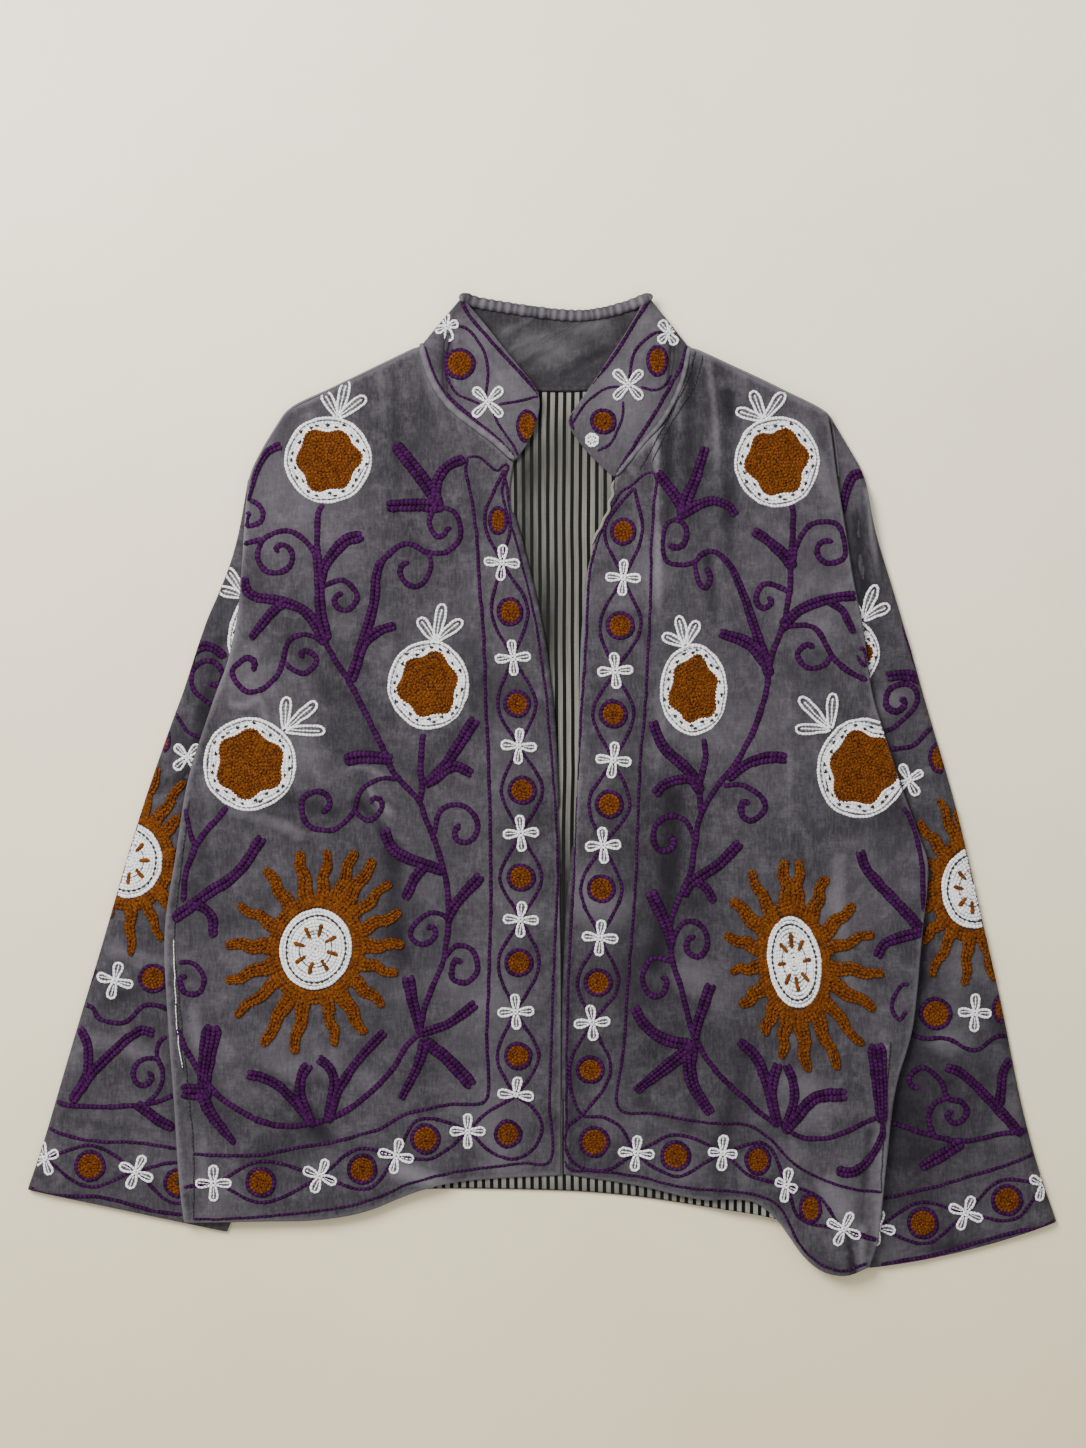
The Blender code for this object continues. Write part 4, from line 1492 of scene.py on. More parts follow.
@dataclass
class Studio:
    """The floor, the soft light and the camera straight above the jacket; its sensor is in millimetres."""

    floor_side: float = 4.0
    camera_height: float = 2.4
    sensor: float = 24.0
    key_size: float = 1.3
    key_power: float = 98.0
    key_place: tuple[float, float, float] = (-1.15, 1.25, 1.7)
    key_colour: tuple[float, float, float] = (1.0, 0.985, 0.955)
    fill: Colour = (1.0, 0.985, 0.96, 1.0)
    fill_strength: float = 0.87

    def build(self) -> None:
        """Builds the whole studio."""
        self.lay_floor()
        self.hang_light()
        self.set_camera()

    def lay_floor(self) -> None:
        """Lays the plain floor just below the cloth."""
        mesh = bmesh.new()
        bmesh.ops.create_grid(mesh, x_segments=8, y_segments=8, size=self.floor_side / 2)
        plane = bpy.data.meshes.new("floor")
        mesh.to_mesh(plane)
        mesh.free()
        floor = new_object("floor", plane, Plaster().make())
        floor.location.z = -0.2 * MM

    def hang_light(self) -> None:
        """Hangs one large soft light at the upper left, and fills the room with even light."""
        lamp = bpy.data.lights.new("key", "AREA")
        lamp.shape = "DISK"
        lamp.size = self.key_size
        lamp.energy = self.key_power
        lamp.color = self.key_colour
        holder = added("key", lamp)
        holder.location = self.key_place
        holder.rotation_euler = (-Vector(self.key_place)).to_track_quat("-Z", "Y").to_euler()
        world = bpy.data.worlds.new("room")
        world.use_nodes = True
        world.node_tree.nodes["Background"].inputs[0].default_value = self.fill
        world.node_tree.nodes["Background"].inputs[1].default_value = self.fill_strength
        bpy.context.scene.world = world

    def set_camera(self) -> None:
        """Hangs the camera so that the frame covers what the photograph covers."""
        lens = bpy.data.cameras.new("camera")
        lens.sensor_fit = "VERTICAL"
        lens.sensor_height = self.sensor
        lens.lens = self.sensor * self.camera_height / (PHOTO_HEIGHT * PIXEL)
        camera = added("camera", lens)
        camera.location = (*at(PHOTO_WIDTH / 2, PHOTO_HEIGHT / 2), self.camera_height)
        bpy.context.scene.camera = camera


RIGHT_FRONT_STEMS = (
    Stem(12, ((437, 503), (428, 487), (399, 449))),
    Stem(9, ((436, 500), (437, 485), (443, 472), (452, 464), (461, 461))),
    Stem(11, ((440, 507), (420, 506), (392, 507))),
    Stem(4.5, ((438, 509), (447, 509), (456, 515), (461, 537), (448, 552), (428, 553), (412, 545), (403, 545),
        (386, 558), (380, 567)), 6),
    Stem(4.5, ((438, 509), (432, 514), (429, 523), (438, 537), (444, 535), (448, 530), (451, 529)), 6),
    Stem(4.5, ((429, 553), (431, 562), (430, 573), (424, 583), (415, 587), (406, 583), (401, 574), (403, 566),
        (409, 563)), 6),
    Stem(8, ((381, 564), (377, 576), (374, 606), (353, 678)), 10),
    Stem(10, ((360, 652), (370, 638), (382, 630), (393, 627)), 8),
    Stem(5.5, ((325, 505), (320, 513), (318, 560)), 6.5),
    Stem(11, ((360, 537), (345, 543), (325, 568), (321, 583)), 9),
    Stem(7, ((318, 556), (323, 620), (327, 636)), 11),
    Stem(5, ((318, 563), (312, 548), (291, 532), (266, 539), (259, 556), (263, 567), (271, 573), (282, 573),
        (291, 567), (294, 557), (290, 549), (283, 546), (277, 549), (279, 553)), 6),
    Stem(5, ((264, 540), (255, 542), (246, 545))),
    Stem(5, ((322, 590), (329, 585), (346, 582), (358, 597), (354, 607), (346, 611), (338, 608), (335, 601),
        (338, 596), (343, 594)), 6),
    Stem(10, ((325, 641), (307, 613), (283, 602), (255, 597), (248, 591), (246, 581)), 8),
    Stem(10, ((284, 604), (273, 613), (254, 637)), 7),
    Stem(6, ((324, 638), (333, 655), (349, 680), (386, 753), (392, 769), (421, 803), (425, 815), (436, 842),
        (448, 890), (445, 955), (433, 985), (423, 1015), (420, 1032)), 5.5),
    Stem(5, ((325, 643), (315, 637), (304, 635), (291, 641), (279, 676), (258, 691), (245, 690), (234, 672),
        (248, 658), (256, 662), (255, 671)), 6),
    Stem(5, ((287, 662), (291, 668), (306, 674), (318, 661), (314, 654), (306, 651), (302, 654), (304, 658)),
        6),
    Stem(8, ((280, 447), (270, 452), (261, 464), (250, 500)), 3),
    Stem(4.5, ((250, 501), (258, 504), (264, 513), (262, 522), (249, 527), (248, 519), (250, 513)), 6),
    Stem(10, ((390, 759), (362, 757), (350, 759)), 12),
    Stem(4.5, ((397, 779), (384, 778), (362, 790), (354, 812), (334, 829), (309, 825), (303, 803), (309, 794),
        (319, 791), (328, 795), (331, 803), (327, 810), (323, 812)), 6),
    Stem(4.5, ((355, 810), (369, 820), (383, 808), (381, 800), (375, 798), (371, 802)), 6),
    Stem(6, ((424, 733), (421, 770), (423, 785), (421, 800))),
    Stem(11, ((474, 722), (443, 768), (428, 783)), 9),
    Stem(9, ((470, 773), (455, 766), (432, 780)), 10),
    Stem(5, ((434, 834), (442, 809), (465, 806), (478, 824), (475, 836), (466, 842), (458, 840), (455, 832),
        (460, 824)), 6),
    Stem(10, ((386, 831), (390, 843), (399, 853), (440, 869))),
    Stem(9, ((424, 867), (415, 878), (407, 895))),
    Stem(11, ((479, 877), (452, 909), (449, 918)), 8),
    Stem(6, ((229, 806), (198, 845), (187, 877), (185, 900))),
    Stem(4, ((187, 808), (194, 838), (197, 846)), 6),
    Stem(10, ((262, 839), (244, 866), (230, 880), (215, 889), (178, 916))),
    Stem(7, ((190, 904), (205, 907), (213, 915), (215, 932)), 9),
    Stem(4.5, ((448, 918), (440, 913), (428, 913), (412, 928), (412, 937), (419, 943), (429, 942), (436, 935),
        (434, 927), (427, 927)), 6),
    Stem(4.5, ((180, 961), (190, 961), (200, 966), (206, 976), (204, 987), (197, 993), (186, 991), (182, 977),
        (188, 975)), 6),
    Stem(5, ((444, 957), (457, 945), (471, 948), (478, 969), (470, 980), (463, 982), (453, 977), (455, 960),
        (462, 961)), 6),
    Stem(12, ((409, 979), (412, 995), (420, 1030)), 7),
    Stem(9, ((474, 1004), (450, 1022), (422, 1032)), 7),
    Stem(12, ((470, 1082), (445, 1055), (428, 1042)), 11),
    Stem(6, ((402, 1096), (418, 1065), (425, 1042)), 10),
    Stem(5.5, ((420, 1032), (405, 1048), (395, 1065), (365, 1096), (335, 1115), (281, 1124), (221, 1095),
        (185, 1043), (180, 1028)), 6.5),
    Stem(9, ((251, 1073), (264, 1076), (281, 1085), (313, 1121)), 8),
    Stem(10, ((308, 1065), (303, 1074), (301, 1087), (304, 1103), (311, 1119)), 9),
    Stem(8, ((321, 1058), (330, 1065), (335, 1080), (329, 1117)), 9),
    Stem(8, ((384, 1032), (363, 1054), (340, 1087), (331, 1117))),
    Stem(19, ((213, 1030), (207, 1066), (205, 1082)), 12),
    Stem(15, ((188, 1090), (207, 1090)), 15),
    Stem(12, ((204, 1093), (211, 1110), (234, 1139)), 7),
)
RIGHT_FRONT_BORDERS = (
    Outline(((467, 458), (466, 470), (472, 500), (477, 540), (480, 590), (484, 640), (486, 700), (490, 800),
        (491, 900), (489, 980), (487, 1040), (485, 1100), (450, 1103), (420, 1109), (400, 1115), (385, 1125),
        (360, 1133), (340, 1139), (300, 1146), (270, 1152), (240, 1154), (195, 1152))),
    Outline(((467, 458), (479, 458), (497, 471), (504, 466), (508, 466), (502, 490), (507, 513), (517, 545),
        (529, 592), (536.5, 627), (542, 665), (547, 705), (551, 750), (555, 800), (557.3, 850), (557.5, 895),
        (555.5, 930), (554, 965), (551.5, 1043), (549.5, 1100), (549.3, 1161), (519, 1163), (420, 1178),
        (380, 1195), (350, 1204), (240, 1216), (195, 1217)), 3.0),
)
RIGHT_FRONT_BAND = Band((
    Crossing(504, 470), Dot(498, 521, 9.5, 0.64), Flower(502, 563, 4), Dot(510, 612, 9.8, 0.88),
    Flower(513, 658, -5), Dot(517, 704, 9.6, 0.92), Flower(519, 746, 4), Dot(522, 790), Flower(521, 833, -4),
    Dot(521, 877), Flower(521, 919, 3), Dot(519, 962), Flower(516, 1011, -3), Dot(518, 1055),
    Flower(516, 1094, 6, quarters=(0, 2, 3)),
    CornerDot(508, 1133, left=((500, 1104), (484, 1114)), right=((534, 1108), (542, 1126), (534, 1147),
        (514, 1158), (488, 1149))),
    Flower(468, 1130), Dot(426, 1137, 10.5), Flower(397, 1154, 12), Dot(363, 1167, 10.5),
    Flower(321, 1174, 22), Dot(262, 1180, 10.5), Flower(215, 1181), Crossing(186, 1185),
))
RIGHT_FRONT_FRUITS = (
    Pomegranate(329, 461, 43, 43, (339, 419), ((325, 394), (348, 382), (366, 398)), 20),
    Pomegranate(429, 685, 40, 44, (436, 642), ((420, 619), (443, 605), (462, 621)), 80),
    Pomegranate(251, 764, 46, 46, (286, 730), ((288, 698), (317, 703), (326, 731)), 150),
)
RIGHT_FRONT_SUN = Sun(317, 948, 35.5, 40.5, ((300, 849), (329, 847), (357, 848), (376, 857), (393, 880),
    (403, 911), (405, 943), (399, 973), (385, 1005), (366, 1034), (337, 1046), (294, 1054), (263, 1046),
    (235, 1016), (226, 981), (226, 943), (238, 903), (266, 866)), 14)

LEFT_FRONT_STEMS = (
    Stem(9, ((658, 475), (677, 500), (683, 512)), 10),
    Stem(7, ((704, 450), (694, 482), (687, 498), (683, 512)), 12),
    Stem(7, ((734, 515), (729, 508), (710, 502), (681, 515)), 10),
    Stem(4, ((680, 517), (665, 527), (665, 560), (673, 565), (693, 563), (700, 556), (708, 552), (717, 554),
        (725, 561)), 5.5),
    Stem(5.5, ((723, 559), (732, 571), (759, 644), (767, 672)), 10),
    Stem(4.5, ((673, 520), (681, 523), (686, 531), (685, 541), (679, 548), (672, 548), (668, 545)), 7),
    Stem(4.5, ((694, 563), (698, 583), (704, 588), (709, 582), (709, 574), (705, 569)), 6),
    Stem(6, ((791, 505), (792, 520), (790, 555), (789, 590), (786, 605), (784, 620), (770, 660), (763, 700),
        (742, 752), (712, 793), (698, 820), (696, 835), (693, 850), (691, 868), (671, 920), (671, 955),
        (680, 985), (692, 1030), (706, 1057), (728, 1083), (742, 1095), (755, 1108), (776, 1124)), 5.5),
    Stem(8, ((754, 533), (765, 540), (785, 558), (790, 565)), 11),
    Stem(5, ((792, 562), (795, 548), (809, 526), (834, 524), (840, 532), (843, 558), (826, 564), (816, 554),
        (818, 546), (824, 542), (831, 542)), 6),
    Stem(5, ((789, 598), (783, 590), (762, 585), (755, 600), (760, 608), (767, 607), (771, 601), (767, 598)),
        6.5),
    Stem(10, ((783, 624), (803, 608), (830, 599), (858, 596)), 8),
    Stem(8, ((830, 603), (841, 611), (851, 631)), 6),
    Stem(5, ((778, 633), (787, 627), (813, 628), (820, 636), (832, 658), (853, 675), (865, 680)), 6),
    Stem(5, ((829, 656), (825, 664), (806, 668), (796, 655), (806, 645), (812, 648)), 6),
    Stem(3.5, ((857, 650), (861, 648), (865, 666), (859, 662), (856, 656))),
    Stem(9, ((721, 634), (746, 643), (765, 662)), 12),
    Stem(6, ((703, 738), (705, 755), (699, 788), (700, 812))),
    Stem(8, ((653, 723), (658, 738), (667, 752), (680, 763), (691, 775), (698, 788)), 11),
    Stem(9, ((656, 792), (664, 784), (688, 779), (697, 785)), 8),
    Stem(11, ((782, 758), (775, 757), (750, 762), (729, 777)), 8),
    Stem(5, ((722, 785), (742, 785), (760, 797), (764, 808), (752, 820), (742, 816), (742, 802), (748, 803)),
        6.5),
    Stem(5, ((694, 838), (684, 820), (671, 816), (661, 819), (654, 828), (653, 840), (657, 848), (665, 850),
        (672, 846), (673, 839), (668, 836)), 7),
    Stem(10, ((737, 844), (720, 862), (690, 883), (684, 892)), 9),
    Stem(7, ((698, 882), (706, 888), (712, 898)), 8),
    Stem(12, ((651, 894), (668, 930), (670, 942)), 8),
    Stem(5, ((671, 940), (683, 922), (695, 921), (703, 928), (707, 940), (704, 951), (697, 956), (690, 953),
        (686, 946), (688, 938), (694, 935)), 6),
    Stem(5, ((671, 962), (663, 958), (651, 958), (642, 976), (646, 990), (652, 995), (662, 993), (666, 978),
        (661, 977)), 6),
    Stem(11, ((709, 986), (699, 1015), (694, 1034)), 8),
    Stem(9, ((635, 1008), (643, 1022), (655, 1033), (670, 1040), (688, 1043)), 11),
    Stem(8, ((637, 1089), (650, 1078), (689, 1047)), 13),
    Stem(9, ((709, 1110), (692, 1083), (689, 1065), (690, 1047)), 13),
    Stem(9, ((740, 1041), (752, 1052), (760, 1065), (776, 1120))),
    Stem(9, ((776, 1064), (772, 1078), (771, 1095), (774, 1112))),
    Stem(8, ((786, 1065), (791, 1078), (793, 1095), (785, 1123))),
    Stem(12, ((841, 1093), (814, 1096), (794, 1117), (785, 1127)), 10),
    Stem(5, ((780, 1124), (795, 1133), (812, 1137), (830, 1135), (865, 1120), (882, 1114))),
    Stem(18, ((875, 1048), (878, 1082), (880, 1117)), 10),
    Stem(5, ((881, 1122), (880, 1135), (862, 1163), (850, 1170), (839, 1169)), 10),
    Stem(9, ((859, 853), (865, 868), (912, 920), (921, 931)), 10),
    Stem(8, ((876, 954), (883, 943), (919, 931)), 10),
    Stem(5, ((901, 807), (909, 818), (919, 855), (922, 910))),
    Stem(4, ((908, 983), (900, 984), (890, 1006), (898, 1018), (904, 1010))),
)
LEFT_FRONT_BORDERS = (
    Outline(((655, 474), (656, 482), (653, 510), (651, 550), (650, 600), (648, 650), (645, 700), (640, 760),
        (638, 800), (636, 860), (632, 930), (628, 980), (623, 1050), (619, 1108), (650, 1112), (680, 1117),
        (715, 1122), (740, 1122), (760, 1130), (775, 1143), (790, 1159), (810, 1172), (835, 1182),
        (860, 1188), (879, 1190)), 3.2),
    Outline(((655, 474), (648, 473), (630, 487), (619, 495), (592, 560), (586, 640), (576, 800), (574.5, 850),
        (572.5, 900), (569.5, 950), (567.7, 1000), (566.5, 1050), (566.5, 1120), (567, 1166), (600, 1170),
        (641, 1176), (679, 1185), (771, 1199), (805, 1250), (838, 1268), (865, 1260)), 3.0),
)
LEFT_FRONT_BAND = Band((
    Crossing(634, 488), Dot(623, 532, 9.3, 0.92), Flower(623, 578, 3), Dot(620, 626), Flower(615, 671, -4),
    Dot(613, 714), Flower(613, 760, 6), Dot(609, 804), Flower(603, 845, -4), Dot(601, 888),
    Flower(600, 937, 5), Dot(598, 982), Flower(592, 1022, -6), Dot(590, 1069), Crossing(582, 1114),
    CornerDot(594, 1141, 11, left=((567, 1127), (564, 1141), (572, 1160), (588, 1169), (609, 1168)),
        right=((603, 1116), (620, 1126))),
    Flower(636, 1152, 5), Dot(675, 1154, 10.5), Flower(722, 1151, 5, 0.8), Dot(757, 1158, 10.5, 0.85),
    Flower(785, 1183, 15, 0.6), Dot(809, 1206, 11, 0.7), Flower(842, 1226, 25), Crossing(885, 1240),
))
LEFT_FRONT_FRUITS = (
    Pomegranate(776, 463, 42, 45, (763, 421), ((736, 412), (752, 393), (783, 394)), 60),
    Pomegranate(693, 690, 33, 45, (685, 646), ((663, 636), (678, 617), (697, 622)), 110),
    Pomegranate(861, 768, 45, 50, (829, 729), ((799, 698), (832, 694), (795, 729)), 10, 15),
)
LEFT_FRONT_SUN = Sun(793, 961, 26, 46, ((782, 857), (798, 857), (825, 874), (853, 903), (873, 932),
    (883, 973), (875, 1008), (862, 1046), (838, 1070), (806, 1072), (780, 1059), (762, 1034), (739, 1005),
    (729, 970), (723, 934), (730, 898), (748, 868)), -8)

RIGHT_SLEEVE_WORK = (
    Stem(10, ((190, 669), (192, 655), (201, 647), (212, 647), (223, 655)), 8),
    Stem(4.5, ((216, 708), (198, 694), (192, 682), (194, 670), (203, 662), (213, 662), (221, 669), (223, 679),
        (218, 685), (210, 684)), 6),
    Stem(3.5, ((176, 712), (189, 732), (208, 739))),
    Stem(4.5, ((84, 1003), (94, 1008), (99, 1017), (124, 1022), (148, 1004), (170, 1009))),
    Stem(8, ((81, 1029), (88, 1042), (88, 1072), (75, 1098)), 9),
    Stem(8, ((153, 1032), (142, 1030), (100, 1065), (75, 1097)), 9),
    Stem(4.5, ((168, 1035), (160, 1042), (158, 1055), (163, 1068), (164, 1080), (158, 1092), (148, 1102))),
    Stem(4.5, ((159, 1058), (148, 1057), (139, 1061), (134, 1072), (138, 1082), (146, 1084), (153, 1077),
        (150, 1071)), 6),
    Stem(5, ((57, 1101), (65, 1104), (150, 1103), (177, 1094))),
    Stem(10, ((140, 1105), (160, 1120), (171, 1126)), 9),
    Outline(((50, 1127), (60, 1132), (100, 1141), (130, 1141), (182, 1148))),
    Outline(((29, 1184), (38, 1191), (59, 1195), (101, 1196), (151, 1209), (182, 1214)), 4.6),
    Outline(((97, 968), (90, 985), (84, 1000)), 3.0),
    Dot(164, 740, 8, 0.5), Dot(154, 978, 10), Flower(188, 757, 45, 1.0, 16), Flower(116, 980, 15, 1.0, 18),
    Band((Flower(46, 1157, 70, 0.8), Dot(91, 1165, 11), Flower(137, 1171, 25), Dot(179, 1182, 10),
        Crossing(215, 1192))),
    Pomegranate(262, 640, 33, 48, (246, 597), ((228, 569), (220, 590), (262, 560)), 0),
    Sun(130, 860, 33, 37, ((146, 796), (160, 764), (186, 779), (196, 806), (205, 850), (200, 885), (185, 920),
        (163, 942), (132, 957), (100, 930), (80, 880), (100, 820)), 0, 12.5),
)
LEFT_SLEEVE_WORK = (
    Stem(9, ((863, 473), (852, 477), (841, 512)), 7),
    Stem(4, ((903, 625), (907, 640), (917, 669))),
    Stem(9, ((889, 677), (900, 675), (912, 676), (921, 680)), 11),
    Stem(4.5, ((882, 733), (895, 726), (913, 708), (917, 697), (912, 687), (902, 684), (891, 688), (885, 697),
        (886, 707), (893, 712), (900, 710), (904, 703), (900, 698)), 7),
    Stem(4.5, ((888, 749), (912, 746), (926, 732), (934, 727))),
    Stem(4, ((905, 1025), (912, 1033), (925, 1038), (940, 1037), (952, 1040), (963, 1047), (975, 1049),
        (996, 1036), (1008, 1036))),
    Stem(8, ((1009, 1061), (1003, 1070), (999, 1100)), 9),
    Stem(8, ((947, 1067), (960, 1072), (1018, 1131)), 9),
    Stem(5, ((919, 1087), (912, 1086), (908, 1079), (913, 1071), (923, 1067), (939, 1079), (948, 1098),
        (960, 1101), (966, 1110), (961, 1120), (952, 1122), (946, 1115), (951, 1110)), 6),
    Stem(5, ((946, 1097), (935, 1102), (929, 1112), (929, 1125), (936, 1138))),
    Stem(5, ((890, 1122), (958, 1140), (1000, 1133), (1029, 1129))),
    Stem(11, ((958, 1143), (945, 1152), (923, 1165)), 9),
    Outline(((880, 1198), (929, 1187), (1021, 1158), (1036, 1151))),
    Outline(((880, 1264), (940, 1252), (1010, 1232), (1040, 1226), (1056, 1219)), 4.6),
    Dot(938, 758, 11, 0.6), Dot(935, 1013, 11.5), Dot(1001, 1008, 10, 0.6), Flower(908, 780, 60, 0.9),
    Flower(974, 1012, 3, 0.9, 18),
    Band((Flower(877, 1227, 10), Dot(922, 1222, 11), Flower(965, 1212, 22), Dot(1006, 1199, 11),
        Flower(1042, 1183, 20, 0.8))),
    Pomegranate(849, 653, 29, 34, (862, 620), ((875, 586), (888, 606), (848, 600)), 0),
    Sun(972, 888, 31, 40, ((956, 806), (938, 796), (916, 820), (903, 850), (897, 885), (903, 915), (917, 945),
        (929, 978), (963, 987), (994, 982), (1015, 940), (1020, 880), (1000, 830)), 0, 12.5),
)

COLLAR_WORK = (
    Outline(((462, 299), (465, 310), (541, 397)), 4.0, stitch=CHAIN),
    Outline(((424, 347), (440, 387), (500, 442), (514, 457)), 4.0, stitch=CHAIN),
    Outline(((457, 327), (467, 330), (484, 352), (488, 370), (485, 403)), 3.4),
    Outline(((450, 340), (445, 368), (455, 392), (480, 405)), 3.0),
    Outline(((498, 405), (515, 403), (541, 397)), 3.0),
    Outline(((493, 412), (500, 427), (515, 449), (519, 459)), 3.0),
    Dot(460, 365, 11), Dot(527, 427, 12, 0.6), Flower(488, 403, 45, 1.0, 19), Flower(447, 328, 75, 0.8, 14),
    Outline(((651, 297), (612, 360), (577, 402), (570, 417), (573, 430)), 4.0, stitch=CHAIN),
    Outline(((686, 346), (680, 368), (617, 474)), 4.0, stitch=CHAIN),
    Outline(((665, 334), (655, 334), (635, 352), (629, 380)), 3.4),
    Outline(((640, 388), (652, 391), (663, 388), (671, 376)), 3.0),
    Outline(((620, 388), (608, 389), (587, 403), (572, 425)), 3.0),
    Outline(((623, 402), (622, 418), (610, 444), (598, 452)), 3.0),
    Dot(657, 362, 11, 0.65), Dot(603, 422.5, 8.3), Flower(628, 386, 45, 1.0, 19),
    Flower(592, 441, 45, 0.85, 6.0), Flower(668, 334, 50, 0.8, 14),
)
RIGHT_FRONT_CREASES = (
    Crease((393, 372), (394, 535), -1.0, 10, 3, -0.4), Crease((383, 380), (387, 525), 0.9, 9, 2, 0.2),
    Crease((447, 405), (463, 458), -0.5, 3.6), Crease((457, 413), (471, 462), 0.3, 3.6),
    Crease((433, 388), (447, 452), 0.25, 4.4), Crease((421, 376), (430, 440), -0.5, 5),
    Crease((470, 423), (481, 456), -0.4, 3.2), Crease((232, 703), (258, 699), 1.0, 4, -4),
    Crease((234, 715), (262, 722), -0.9, 4, 3), Crease((263, 701), (267, 720), 0.9, 3.6),
    Crease((352, 768), (384, 777), 1.5, 6, 3), Crease((371, 789), (393, 813), 1.4, 6, -2),
    Crease((358, 802), (384, 832), -1.2, 8, 2), Crease((318, 772), (350, 792), 0.8, 6, -2),
    Crease((236, 797), (332, 812), -1.2, 10, 4), Crease((233, 812), (300, 834), 0.8, 8, 3),
    Crease((290, 640), (330, 700), -0.7, 10, 4), Crease((205, 780), (222, 900), 0.7, 9, 3),
    Crease((395, 850), (402, 960), -1.3, 14, -3), Crease((260, 1075), (330, 1140), -0.9, 12, 5),
    Crease((400, 1168), (448, 1186), 1.8, 12, 0), Crease((455, 1120), (470, 1165), -0.8, 8),
    Crease((196, 1010), (206, 1180), 0.7, 7, 2),
)
RIGHT_FRONT_PATCHES = (
    Patch(280, 480, 60, 90, 0.28), Patch(302, 757, 46, 26, 0.3), Patch(398, 905, 44, 84, -0.3),
    Patch(408, 440, 26, 70, -0.1), Patch(440, 418, 16, 24, -0.22), Patch(290, 812, 60, 14, -0.3),
    Patch(482, 1040, 40, 90, 0.16), Patch(420, 390, 14, 40, -0.12), Patch(230, 640, 18, 60, 0.25),
    Patch(340, 640, 20, 60, -0.2), Patch(240, 1120, 60, 26, -0.2), Patch(350, 1150, 90, 14, -0.22),
    Patch(500, 700, 14, 260, 0.16), Patch(380, 1015, 40, 40, -0.25), Patch(205, 940, 18, 80, -0.2),
    Patch(345, 745, 20, 18, -0.3),
)
LEFT_FRONT_CREASES = (
    Crease((656, 440), (659, 630), 2.2, 4.6, 0, 0.7), Crease((669, 395), (667, 560), -1.7, 8, 0, -0.5),
    Crease((689, 372), (690, 520), -1.8, 9, 0, -0.6), Crease((678, 390), (679, 500), 0.9, 6, 0, 0.3),
    Crease((708, 362), (719, 540), 1.5, 5, 3, 0.4), Crease((729, 395), (735, 620), -1.4, 10, -4, -0.5),
    Crease((742, 370), (757, 520), 0.9, 10, -2, 0.3), Crease((716, 540), (731, 650), 1.0, 9, 0, 0.3),
    Crease((708, 560), (714, 620), -0.9, 8), Crease((789, 685), (787, 895), 1.1, 4.4, 0, 0.5),
    Crease((800, 400), (835, 500), 0.7, 12, -4), Crease((660, 640), (655, 790), 0.8, 9, 2),
    Crease((672, 800), (655, 960), -1.3, 14, 3), Crease((633, 470), (640, 540), 0.8, 5, 1),
    Crease((748, 1052), (718, 1190), -0.8, 12, -5, -1.1), Crease((756, 1120), (742, 1192), 0.4, 8, -2),
    Crease((790, 1150), (846, 1225), 0.6, 15, 6), Crease((846, 1232), (852, 1272), -1.8, 4),
    Crease((860, 1226), (860, 1268), 1.6, 5), Crease((885, 1045), (876, 1240), 1.6, 5, 1),
    Crease((868, 1130), (860, 1215), -1.2, 6, -1), Crease((838, 860), (850, 990), 0.8, 10, -4),
    Crease((640, 1100), (690, 1125), -0.8, 9, -3), Crease((812, 600), (858, 606), -0.7, 6, 3),
    Crease((820, 630), (850, 690), 0.8, 9),
)
LEFT_FRONT_PATCHES = (
    Patch(690, 430, 28, 80, -0.32), Patch(648, 940, 42, 130, -0.54), Patch(668, 620, 18, 90, -0.15),
    Patch(800, 560, 70, 90, 0.06), Patch(722, 1150, 26, 44, -0.3), Patch(569, 1000, 5, 190, -0.7),
    Patch(842, 1190, 44, 40, 0.16), Patch(740, 630, 70, 90, 0.02), Patch(880, 1130, 12, 90, 0.4),
    Patch(660, 400, 12, 30, 0.35), Patch(740, 740, 60, 60, 0.12), Patch(700, 1010, 30, 60, -0.2),
    Patch(770, 1130, 50, 14, -0.2), Patch(600, 1160, 40, 20, -0.25), Patch(622, 900, 10, 300, -0.15),
    Patch(840, 590, 34, 60, 0.16), Patch(870, 850, 30, 70, 0.1),
)
RIGHT_SLEEVE_CREASES = (
    Crease((222, 640), (186, 800), -1.2, 9, 0, -0.6), Crease((140, 800), (192, 775), -1.0, 9, 3),
    Crease((150, 790), (196, 760), 0.8, 7, 3), Crease((118, 945), (172, 962), 0.9, 9, -3),
    Crease((92, 1038), (168, 1068), 0.7, 11, 4), Crease((110, 1000), (170, 985), -0.8, 10, 3),
    Crease((70, 1120), (160, 1128), -0.8, 8, -2), Crease((60, 1198), (150, 1214), -0.9, 6, 2),
)
LEFT_SLEEVE_CREASES = (
    Crease((867, 488), (885, 612), 1.8, 4.6, -2, 0.4), Crease((857, 520), (868, 610), -1.9, 8, -1, -1.0),
    Crease((893, 560), (905, 640), 0.7, 8, -2), Crease((900, 790), (915, 800), 0.8, 6),
    Crease((918, 905), (922, 985), -1.0, 9, 3), Crease((940, 1040), (1000, 1060), 0.8, 11, 3),
    Crease((905, 1050), (950, 1085), -0.9, 11, 4), Crease((900, 1160), (990, 1150), -0.8, 9, 3),
    Crease((905, 1255), (1010, 1238), -0.9, 6, 1), Crease((985, 1000), (1010, 1050), -0.8, 9, 2),
)
RIGHT_SLEEVE_PATCHES = (
    Patch(210, 720, 16, 90, -0.4), Patch(120, 1060, 80, 110, -0.14), Patch(180, 1000, 14, 140, -0.25),
    Patch(100, 1175, 70, 22, -0.12),
)
